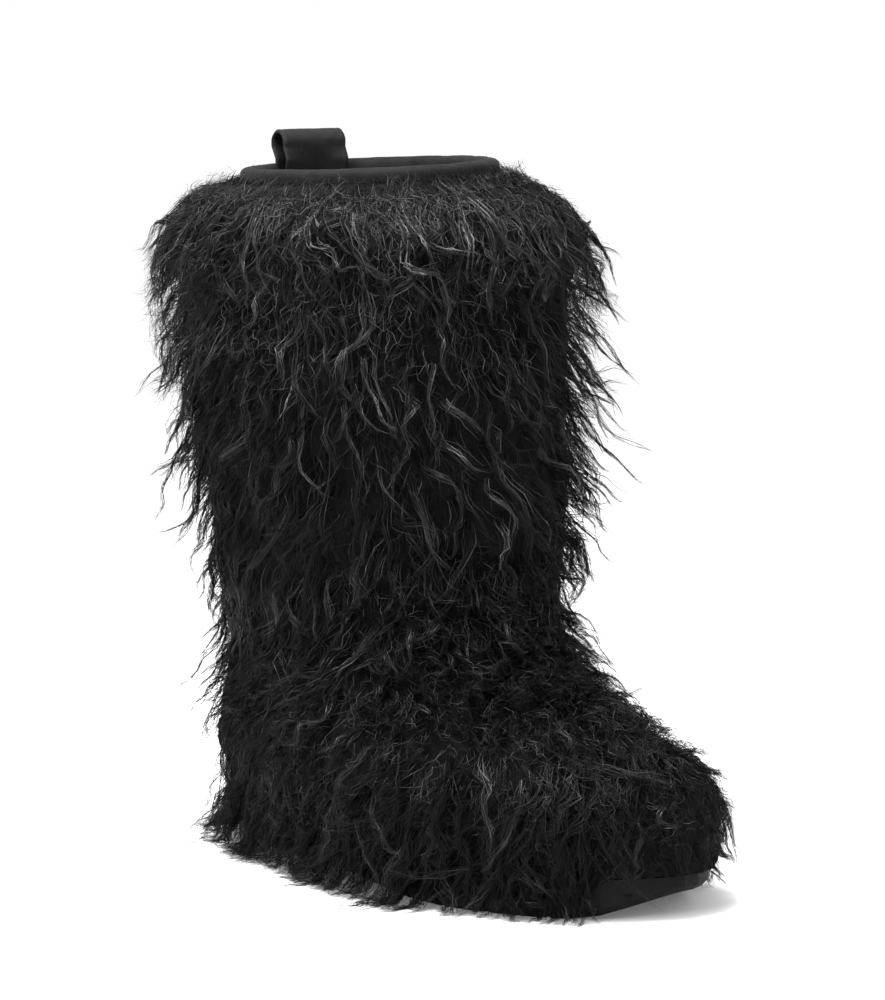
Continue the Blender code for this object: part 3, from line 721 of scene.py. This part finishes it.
# short fine hairs between the locks, and curly ones over the shoulder and the instep
fineRoots, fineOut = scatterRoots(fur["fineSpacing"], rng)
pick = rng.permutation(len(fineRoots))
pickHeight = fineRoots[pick][:, 2]
onShoulder = smoothStep(0.188, 0.276, pickHeight)
onInstep = smoothStep(0.2, 0.6, fineOut[pick][:, 2])
pickFuzz = pick[rng.random(len(pick)) * (1 - 0.6 * onInstep) < 0.85 * (1 - onShoulder)][:fur["fuzz"]]
count = len(pickFuzz)
fuzzPath = growLocks(fineRoots[pickFuzz], fineOut[pickFuzz], rng.uniform(0.008, 0.020, count),
                     rng.uniform(0.72, 1.0, count), rng.uniform(0, 0.002, count), rng.normal(0, 0.7, count),
                     rng.normal(0, 0.8, count), rng.normal(0, 0.002, count), 7, 0.64)
fuzzHairs = singleHairs(fuzzPath, 5)
weight = onShoulder ** 1.3 * (1 + 6.5 * smoothStep(0.274, 0.282, pickHeight))
weight += (0.35 * onInstep + 0.10) * (pickHeight < 0.125)
pickFrizz = rng.choice(pick, fur["frizz"], p=weight / weight.sum())
frizzRoots = fineRoots[pickFrizz] + rng.normal(0, 0.0008, (len(pickFrizz), 3))
print("fuzz and frizz:", count, len(pickFrizz))
count = len(pickFrizz)
atBinding = smoothStep(0.268, 0.285, frizzRoots[:, 2])
frizzLength, frizzEnd = rng.uniform(0.006, 0.018, count), rng.uniform(0.86, 1.04, count)
frizzLift = rng.uniform(0, 0.004, count) * (1 - 0.4 * atBinding)
frizzLean = rng.normal(0, 0.9, count) + atBinding * rng.choice([0, 2.6, -2.6], count)
frizzHook, frizzCurl = rng.normal(0, 1.4, count), rng.normal(0, 0.002, count)
frizzStart = rng.uniform(0.70, 0.96, count) * (1 - atBinding) + rng.uniform(0.90, 1.04, count) * atBinding
frizzPath = growLocks(frizzRoots, fineOut[pickFrizz], frizzLength, frizzEnd, frizzLift, frizzLean, frizzHook,
                      frizzCurl, 8, frizzStart)
frizzHairs = singleHairs(frizzPath, 6, 2.2)

# the locks by area
ankleHeight, calfHeight, instepX = 0.105, 0.195, 0.09
x, y, z = roots[lockOf].T
below, atTop = z < ankleHeight, z >= calfHeight
onCalf = ~below & ~atTop
areas = {
    "toe": below & (x >= instepX),
    "heel": below & (x < instepX),
    "shaft_outer": onCalf & (y < 0),
    "shaft_inner": onCalf & (y >= 0),
    "top_outer": atTop & (y < 0),
    "top_inner": atTop & (y >= 0),
}


def furPiece(name, lines, across, width, tone, material=strandBlack):
    piece = ribbonPiece(name, lines, across, width, tone, material)
    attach(piece, "root")
    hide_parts("fur_coat")
    print(name, len(lines) * (2 * (lines.shape[1] - 2) + 1))


for name, inArea in areas.items():
    mine = inArea & ~paintedSheen[lockOf]
    furPiece("fur_locks_" + name, lines[mine], across[mine], width[mine], tone[mine])
# the painted-sheen locks, their tone lifted further
mine = paintedSheen[lockOf]
paintedSheenTone = np.clip(0.15 + tone[mine], 0, 1)
furPiece("fur_locks_painted_sheen", lines[mine], across[mine], width[mine], paintedSheenTone, strandPaintedSheen)
furPiece("fur_fuzz", *fuzzHairs)
frizzLines, frizzAcross, frizzWidth, frizzTone = frizzHairs
# painted shade: the curly hairs low down, over the instep, darker than those over the shoulder
frizzTone = frizzTone * (1 - 0.55 * (frizzRoots[:, 2] < 0.13))
furPiece("fur_frizz", frizzLines, frizzAcross, frizzWidth * fur["frizzWidth"], frizzTone, frizzBlack)

# the dark wool that the strands lie on
coatRows = evenRows(0.0024)
coatRows = coatRows[smoothRings(coatRows, [0])[:, 0, 2] < fur["top"]]
coat = smoothRings(coatRows, np.arange(0, rings.shape[1], 0.15)[:226])
coatOut = wallNormals(coat)
coatPlaces, coatWays = coat.reshape(-1, 3), coatOut.reshape(-1, 3)
coatDepth = coatThickness(coatPlaces, coatWays).reshape(coat.shape[:2])
ridgePlaces = coatPlaces * np.array([1, 1, 0.28])
ripple = np.sin(coatPlaces[:, 2:] / 0.0034 + 4 * softNoise(coatPlaces, 0.02, 5)[:, None])
ridgePlaces = ridgePlaces + np.array([0.002, 0.002, 0]) * ripple
ridges = softNoise(ridgePlaces, 0.0042, 6) + 0.5 * softNoise(ridgePlaces, 0.0021, 8)
ridges = ridges.reshape(coat.shape[:2])
fullness = fur["woolShare"] + 0.24 * smoothStep(0.240, 0.268, coat[..., 2])
deep = coatDepth * fullness + 0.0024 * ridges * (1 - 0.5 * smoothStep(0.250, 0.280, coat[..., 2]))
coatFace = standOff(coatPlaces, coatWays, np.maximum(deep, 0.0030).ravel()).reshape(coat.shape)
toeEdge = toeShare(coat[0])
hemRows = []
for part in (1.0, 0.75, 0.5, 0.25):
    row = coatFace[0].copy()
    row[:, 2] -= part * (coat[0, :, 2] - (0.007 + 0.011 * toeEdge))
    row[:, :2] += coatOut[0, :, :2] * (0.0015 * ridges[int(part * 8)])[:, None]
    hemRows.append(row)
tuck = hemRows[0] - coatOut[0] * 0.006
tuck[:, 2] += 0.002
rimTop, rimSide = coat[-1], coatOut[-1]
rimEdge = ((0.0072, 0.0014), (0.0046, 0.0014), (0.0029, 0.0))  # out from the hide and up, to the binding
rimWool = [rimTop + rimSide * outwards + np.array([0, 0, upwards]) for outwards, upwards in rimEdge]
allRows = np.concatenate([tuck[None], np.array(hemRows), coatFace, np.array(rimWool)])

# short curls against the binding
count = fur["rimHairs"]
at = rng.random(count) * coat.shape[1]
side = unit(between(rimSide, at))
inset = rng.uniform(0.0030, 0.0160, count)
start = between(rimTop, at) + side * inset[:, None]
insets, rises = (0.0029, 0.0046, 0.0072, 0.0105, 0.0160), (-0.0002, 0.0012, 0.0012, -0.0004, -0.0030)
start[:, 2] += np.interp(inset, insets, rises)
off = unit(side * rng.uniform(0.1, 1.2, count)[:, None] + np.array([0, 0, 1.0]))
curlRadius, curlBend = rng.uniform(0.0012, 0.0036, count), rng.uniform(0.8, 3.4, count)
hairs = curlyLines(start, off, curlRadius, curlBend, rng.uniform(0.0002, 0.0028, count), 6, rng)
furPiece("fur_rim", *hairs[:2], hairs[2] * fur["rimWidth"], 0.9 * rng.random(count) ** 1.3, frizzBlack)
woolDark, tree, shader = newMaterial("furWool", (0.0018, 0.0018, 0.0020), 0.75, 0.06)
streaks = addNoise(tree, 900, 4, 0.6, (1, 1, 0.10), 0.4)
addColour(tree, shader, streaks, 0.35, 0.72, (0.0011, 0.0011, 0.0012), (0.0046, 0.0046, 0.0049))
tangle = addBump(tree, shader, streaks, 0.0020, 0.8)
addBump(tree, shader, addNoise(tree, 1300, 4, 0.7, (1, 1, 1), 1.2), 0.0010, 0.8, tangle)
underCoat = newPiece("fur_wool", allRows.reshape(-1, 3), gridFaces(*allRows.shape[:2]), woolDark)
bakeGrid(underCoat, *allRows.shape[:2])
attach(underCoat, "root")
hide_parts("fur_coat")
print("wool:", 2 * len(underCoat.data.polygons))

# collar binding, a strip folded over the hide's top edge

binding = {
    "thick": 0.0022,
    "gap": 0.0003,              # between it and the hide
    "hideWall": 0.003,
    "outerDrop": 0.0130,        # how far it reaches down outside
    "innerDrop": 0.0160,
    "columns": 272,
    "pucker": 0.00016,          # depth of the small folds along it
    "stitchLength": 0.0026,
    "stitchPitch": 0.0036,
    "stitchUp": 0.0022,         # from its edge to the seam
    "threadRadius": 0.00022,
}


def bindingProfile():  # out from the hide's face and up from its rim, round the strip from its outer edge
    near, far = binding["gap"], binding["gap"] + binding["thick"]
    inside, drop, innerDrop = -binding["hideWall"], binding["outerDrop"], binding["innerDrop"]
    quarters = (0.25, 0.5, 0.75)
    outer = [(near, -drop), (far * 0.6, -drop - 0.0002), (far, -drop + 0.0005)]
    outer += [(far + 0.0002, -drop * (1 - t)) for t in quarters] + [(far, -0.0006)]
    middle, radius = (far + inside - far) / 2, (far - inside + far) / 2
    turn = np.radians(np.arange(15, 166, 15))
    arch = [(middle + radius * math.cos(a), (far + 0.0004) * math.sin(a)) for a in turn]
    back = [(inside - far, -0.0006)] + [(inside - far - 0.0002, -innerDrop * t) for t in quarters]
    back += [(inside - far, -innerDrop + 0.0005), (inside - far * 0.6, -innerDrop - 0.0002)]
    back += [(inside - near, -innerDrop), (inside - near, -0.0005), (near, -0.0005)]
    return np.array(outer + arch + back)


columns = np.linspace(0, rings.shape[1], binding["columns"], endpoint=False)
top = rings.shape[0] - 1
rimGrid = smoothRings(np.array([top - 1, top - 0.5, top]), columns)
rim = rimGrid[-1]
rimOut = gridNormals(rimGrid)[-1] * np.array([1, 1, 0])
rimOut = unit(rimOut)
slope = rimGrid[1] - rimGrid[2]
slope = slope[:, :2] / np.abs(slope[:, 2:])


def onRim(out, up):  # a ring of places this far out and up from the rim
    ring = rim + rimOut * np.asarray(out)[..., None] + np.array([0, 0, 1.0]) * np.asarray(up)[..., None]
    ring[:, :2] += slope * np.maximum(-np.asarray(up), 0)[..., None]
    return ring


profile = bindingProfile()
loops = np.array([onRim(np.full(len(rim), o), np.full(len(rim), u)) for o, u in profile])
centre = loops.mean(axis=0, keepdims=True)
fold = softNoise(loops * np.array([1, 1, 0.35]), 0.0055, 31) + 0.6 * softNoise(loops, 0.012, 32)
loops = loops + unit(loops - centre) * (binding["pucker"] * fold)[..., None]
cloth, tree, shader = newMaterial("bindingCloth", (0.008, 0.008, 0.0083), 0.85, 0.08)
patches = addNoise(tree, 160, 4, 0.6)
addColour(tree, shader, patches, 0.3, 0.75, (0.0050, 0.0050, 0.0053), (0.0100, 0.0100, 0.0105))
grain = addBump(tree, shader, addNoise(tree, 3200, 2, 0.6), 0.00012, 0.8)
addBump(tree, shader, addNoise(tree, 420, 3, 0.5), 0.0003, 0.6, grain)
shader.inputs["Sheen Weight"].default_value = 0.015
shader.inputs["Sheen Roughness"].default_value = 0.4
across, around = loops.shape[:2]
quads = [tuple(q % (across * around) for q in face[::-1]) for face in gridFaces(across + 1, around)]
strip = newPiece("binding_strip", loops.reshape(-1, 3), quads, cloth)
bakeGrid(strip, across, around)
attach(strip, "root")
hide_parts("collar_binding")
print("binding made")


def stitchRow(name, places, normals, ways, material):
    # a row of short thread lengths, each sunk at both ends
    length, radius = binding["stitchLength"], binding["threadRadius"]
    turn = np.radians(np.arange(0, 360, 60))
    along = np.array([-0.5, -0.3, 0.0, 0.3, 0.5]) * length
    sink = np.array([-0.9, 0.2, 0.5, 0.2, -0.9]) * radius
    points, faces = [], []
    for place, normal, way in zip(places, normals, ways):
        side = np.cross(normal, way)
        first = len(points)
        for step, height in zip(along, sink):
            for t in turn:
                rise = height + radius * 0.8 * math.sin(t)
                points.append(place + way * step + normal * rise + side * radius * math.cos(t))
        tube = gridFaces(len(along), len(turn))
        faces += [tuple(first + corner for corner in face) for face in tube]
    row = newPiece(name, points, faces, material)
    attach(row, "root")


thread, tree, shader = newMaterial("blackThread", (0.008, 0.008, 0.0085), 0.5, 0.25)
addBump(tree, shader, addNoise(tree, 5000, 2, 0.5, (1, 1, 0.4)), 0.0001, 0.7)


def seamRound(name, out, up, facing):  # a stitched seam right round the strip
    ring = onRim(np.full(len(rim), out), np.full(len(rim), up))
    gaps = np.linalg.norm(np.roll(ring, -1, axis=0) - ring, axis=1)
    along = np.concatenate([[0], np.cumsum(gaps)])
    count = int(along[-1] / binding["stitchPitch"])
    at = np.interp(np.arange(count) * along[-1] / count, along, np.arange(len(ring) + 1))
    column = np.floor(at).astype(int) % len(ring)
    ways = unit(ring[(column + 1) % len(ring)] - ring[column])
    stitchRow(name, between(ring, at), rimOut[column] * facing, ways, thread)


farOut = binding["gap"] + binding["thick"]
seamOut = farOut + 0.00005
outerUp, innerUp = binding["stitchUp"] - binding["outerDrop"], binding["stitchUp"] - binding["innerDrop"]
seamRound("binding_seam_outer", seamOut, outerUp, 1)
seamRound("binding_seam_inner", -binding["hideWall"] - seamOut, innerUp, -1)

# pull loop, a folded strap sewn inside the back of the collar

loop = {
    "width": 0.032,
    "thick": 0.0022,
    "rise": 0.009,
    "radius": 0.0048,
    "tuck": 0.020,              # how far its legs run down inside the collar
    "edgeSeam": 0.0024,         # from its edge to the seam
    "points": 90,
    "pointsAcross": 33,
    "hugRadius": 0.034,         # radius of the collar's curve, which its legs follow
}


def loopLine():  # middle line of the strap, in from the binding and up, from the back leg to the front
    topZ = rings[-1, 0, 2] + farOut + 0.0003
    turn = np.radians(np.arange(180, -1, -30))
    centreIn, centreZ, radius = 0.0064, topZ + loop["rise"], loop["radius"]
    arc = [(centreIn + radius * math.cos(a), centreZ + radius * math.sin(a)) for a in turn]
    back = [(0.0016, topZ - loop["tuck"]), (0.0016, topZ - 0.008), (0.0017, topZ + 0.002)]
    front = [(0.0106, topZ + 0.004), (0.0092, topZ - 0.003), (0.0066, topZ - 0.010), (0.0047, topZ - 0.016)]
    knots = np.array(back + arc + front + [(0.0046, topZ - loop["tuck"])])
    return blend(knots, np.linspace(0, len(knots) - 1, loop["points"]), 0, False), topZ


line, loopTop = loopLine()
way = unit(np.gradient(line, axis=0))
side = np.column_stack([way[:, 1], -way[:, 0]])
wall = rings[-1, 0, 0] + binding["hideWall"] + farOut + 0.0003
halfWide, halfThick = loop["width"] / 2, loop["thick"] / 2
spread = np.linspace(-1, 1, loop["pointsAcross"])
across = np.concatenate([spread, spread[::-1]])
face = np.repeat([-1.0, 1.0], loop["pointsAcross"])
edge = np.clip((1 - np.abs(across)) * halfWide / 0.0011, 0, 1)
roundEdge = np.sqrt(1 - (1 - edge) ** 2) * 0.9 + 0.1
seamDip = np.exp(-((np.abs(across) * halfWide - (halfWide - loop["edgeSeam"])) / 0.0006) ** 2)
depth = face * halfThick * (roundEdge - 0.16 * seamDip)
y = across * halfWide
points = []
for (inward, z), (sideX, sideZ) in zip(line, side):
    hug = float(np.clip((loopTop + 0.008 - z) / 0.006, 0.12, 1))
    x = wall + inward + sideX * depth + hug / loop["hugRadius"] * y * y / 2
    points.append(np.column_stack([x, y, z + sideZ * depth]))
points = np.array(points)
points = points + 0.00010 * softNoise(points, 0.004, 41)[..., None]
webbing, tree, shader = newMaterial("loopWebbing", (0.006, 0.006, 0.0063), 0.74, 0.16)
weave = tree.nodes.new("ShaderNodeTexWave")
weave.wave_type = "BANDS"
weave.bands_direction = "DIAGONAL"
weave.inputs["Scale"].default_value = 420
weave.inputs["Distortion"].default_value = 0.6
weave.inputs["Detail"].default_value = 1.0
tree.links.new(addPlace(tree), weave.inputs["Vector"])
ribs = addBump(tree, shader, weave.outputs["Fac"], 0.00008, 0.35)
addBump(tree, shader, addNoise(tree, 2600, 2), 0.0001, 0.6, ribs)
patches = addNoise(tree, 200, 3, 0.6)
addColour(tree, shader, patches, 0.3, 0.75, (0.0038, 0.0037, 0.0038), (0.0072, 0.0070, 0.0072))
strap = newPiece("pull_strap", points.reshape(-1, 3), gridFaces(*points.shape[:2]), webbing)
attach(strap, "root")
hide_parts("pull_loop")
print("loop made")

# cream shearling inside

shearling = {
    "gap": 0.0006,              # between it and the hide
    "pile": 0.0026,
    "curl": 0.0052,             # size of its clumps
    "step": 0.0028,
    "columns": 160,
    "tufts": 6200,              # small curled fibres standing on it
    "tuftWidth": 0.00042,
    "bedStep": 0.0017,          # between points of the footbed's pile
    "bedGap": 0.0003,
    "bedPile": 0.0024,
}


def curls(places, seed):  # 0 in the partings to 1 on the curls
    rough = 1 - np.abs(softNoise(places, shearling["curl"], seed))
    fine = 1 - np.abs(softNoise(places, shearling["curl"] * 0.5, seed + 1))
    return 0.65 * rough ** 2 + 0.35 * fine ** 2


cream, tree, shader = newMaterial("creamShearling", (0.50, 0.45, 0.35), 0.95, 0.10)
patches = addNoise(tree, 420, 5, 0.7, (1, 1, 1), 1.2)
addColour(tree, shader, patches, 0.3, 0.72, (0.31, 0.265, 0.19), (0.60, 0.55, 0.45))
addBump(tree, shader, addNoise(tree, 900, 5, 0.75, (1, 1, 1), 2.0), 0.0016, 1.0)
shader.inputs["Sheen Weight"].default_value = 0.10
shader.inputs["Sheen Roughness"].default_value = 0.5

liningColumns = np.linspace(0, rings.shape[1], shearling["columns"], endpoint=False)
wallInside = smoothRings(evenRows(shearling["step"]), liningColumns)
inward = -wallNormals(wallInside)
bindingEdge = rings[-1, 0, 2] - binding["innerDrop"]
keep = wallInside[:, 0, 2] < bindingEdge + 0.003
wallInside, inward = wallInside[keep], inward[keep]
pile = shearling["pile"] * curls(wallInside, 51)
lining = wallInside + inward * (binding["hideWall"] + shearling["gap"] + pile)[..., None]
tuftShare = lining[..., 2] ** 2.5 * (lining[..., 2] < bindingEdge - 0.0030)
cell = rng.choice(tuftShare.size, shearling["tufts"], p=tuftShare.ravel() / tuftShare.sum())
count = len(cell)
start = lining.reshape(-1, 3)[cell] + rng.normal(0, 0.0007, (count, 3))
off = inward.reshape(-1, 3)[cell]
curlRadius, curlBend = rng.uniform(0.0007, 0.0018, count), rng.uniform(2.6, 6.0, count)
tufts = curlyLines(start, off, curlRadius, curlBend, rng.uniform(0.0010, 0.0028, count), 6, rng)
tuftWidth = tufts[2] * shearling["tuftWidth"]
curlPiece = ribbonPiece("lining_curls", *tufts[:2], tuftWidth, rng.random(count), cream)
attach(curlPiece, "root")
liningFaces = [face[::-1] for face in gridFaces(*lining.shape[:2])]
liningPiece = newPiece("lining_shearling", lining.reshape(-1, 3), liningFaces, cream)
bakeGrid(liningPiece, *lining.shape[:2])
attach(liningPiece, "root")

# the footbed's pile, on top of the insole

bedLow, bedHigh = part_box("insole")
insoleMesh = nodes["insole"].data
insolePoints = [tuple(v.co) for v in insoleMesh.vertices]
insoleTree = BVHTree.FromPolygons(insolePoints, [tuple(face.vertices) for face in insoleMesh.polygons])
step = shearling["bedStep"]
xs = np.arange(bedLow.x - step, bedHigh.x + step, step)
ys = np.arange(bedLow.y - step, bedHigh.y + step, step)
bed = np.full((len(xs), len(ys), 3), np.nan)
for i, x in enumerate(xs):
    for j, y in enumerate(ys):
        hit = insoleTree.ray_cast(Vector((x, y, 0.08)), Vector((0, 0, -1)))[0]
        if hit is not None:
            bed[i, j] = (x, y, hit.z)
real = ~np.isnan(bed[..., 0])
index = np.cumsum(real.ravel()).reshape(real.shape) - 1
points = bed[real]
points[:, 2] += shearling["bedGap"] + shearling["bedPile"] * curls(points * np.array([1, 1, 0]), 61)
whole = real[:-1, :-1] & real[1:, :-1] & real[1:, 1:] & real[:-1, 1:]
faces = [(index[i, j], index[i + 1, j], index[i + 1, j + 1], index[i, j + 1]) for i, j in np.argwhere(whole)]
bedPiece = newPiece("insole_pile", points, faces, cream)
bedSize = bedHigh - bedLow
bakeLayout(bedPiece, (points[:, 0] - bedLow.x) / bedSize.x, (points[:, 1] - bedLow.y) / bedSize.y * 0.5)
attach(bedPiece, "root")
print("lining made")

# rubber sole and foam rand

def mouldedMaterial(name, colours, roughness, specular, patches, pores, poreDepth, waves, waveDepth):
    # patches of colour, fine pores and soft waves, given as noise scales
    material, tree, shader = newMaterial(name, colours[0], roughness, specular)
    addColour(tree, shader, addNoise(tree, patches, 4, 0.6), 0.3, 0.8, *colours[1:])
    pores = addNoise(tree, *pores)
    fine = addBump(tree, shader, pores, poreDepth, 0.7)
    addBump(tree, shader, addNoise(tree, waves, 3, 0.5), waveDepth, 0.4, fine)
    addRoughness(tree, shader, pores, roughness - 0.14, roughness + 0.10)
    return material


# the plain colour, then those of the dark and the light patches
rubberColours = (0.0026, 0.0026, 0.0028), (0.0018, 0.0018, 0.0020), (0.0036, 0.0036, 0.0038)
foamColours = (0.0030, 0.0030, 0.0032), (0.0022, 0.0022, 0.0024), (0.0040, 0.0040, 0.0043)
rubber = mouldedMaterial("soleRubber", rubberColours, 0.62, 0.09, 60, (1400, 2, 0.5), 0.00018, 120, 0.0003)
foam = mouldedMaterial("randFoam", foamColours, 0.72, 0.08, 70, (2300, 2, 0.6), 0.00015, 90, 0.0004)

# hide
suede, tree, shader = newMaterial("hideSuede", (0.018, 0.017, 0.017), 0.85, 0.2)
nap = addNoise(tree, 900, 4, 0.65)
addBump(tree, shader, nap, 0.0004, 0.7)
addColour(tree, shader, nap, 0.3, 0.75, (0.013, 0.0125, 0.0125), (0.026, 0.025, 0.025))


def dress(node, material):
    for slot in nodes[node].material_slots:
        slot.link = "OBJECT"
        slot.material = material


dress("outsole", rubber)
dress("midsole", foam)
dress("upper", suede)
dress("insole", cream)
print("solids dressed")

# floor
floorHalf = 8.0
floorWhite, tree, shader = newMaterial("paleFloor", (0.93, 0.93, 0.93), 0.9, 0.0)
shader.inputs["Emission Color"].default_value = (1, 1, 1, 1)
shader.inputs["Emission Strength"].default_value = 0.10
floorCorners = [(x * floorHalf, y * floorHalf, 0) for x, y in ((-1, -1), (1, -1), (1, 1), (-1, 1))]
floor = newPiece("floor", floorCorners, [(0, 1, 2, 3)], floorWhite, smooth=False)

# light and camera
studio = {
    "world": 1.0,               # strength of the light from all round
    "topPower": 26,             # watts
    "keyPower": 12,
    "target": (0.0455, 0.0255, 0.150),
    "turn": 56.4,               # degrees round from the outer side towards the toe
    "distance": 2.16,
    "height": 0.393,
    "lens": 182.0,
}
world = bpy.data.worlds.new("studio")
bpy.context.scene.world = world
world.use_nodes = True
world.node_tree.nodes["Background"].inputs["Color"].default_value = (1, 1, 1, 1)
world.node_tree.nodes["Background"].inputs["Strength"].default_value = studio["world"]


def softBox(name, place, aim, size, power):
    light = bpy.data.lights.new(name, "AREA")
    light.shape = "RECTANGLE"
    light.size, light.size_y = size
    light.energy = power
    lamp = addObject(name, light)
    lamp.location = place
    lamp.rotation_euler = (Vector(aim) - Vector(place)).to_track_quat("-Z", "Y").to_euler()


softBox("topSoftBox", (0.15, -0.25, 0.95), (0.03, -0.02, 0.24), (0.55, 0.55), studio["topPower"])
softBox("keySoftBox", (0.9, -1.5, 0.9), (0.05, 0.0, 0.20), (0.6, 0.8), studio["keyPower"])

target = Vector(studio["target"])
turn = math.radians(studio["turn"])
cameraData = bpy.data.cameras.new("camera")
cameraData.lens = studio["lens"]
cameraData.sensor_width = 36
camera = addObject("camera", cameraData)
away = studio["distance"]
camera.location = (target.x + away * math.sin(turn), target.y - away * math.cos(turn), studio["height"])
camera.rotation_euler = (target - camera.location).to_track_quat("-Z", "Y").to_euler()
bpy.context.scene.camera = camera
bpy.context.scene.view_settings.view_transform = "Standard"
print("stage set")
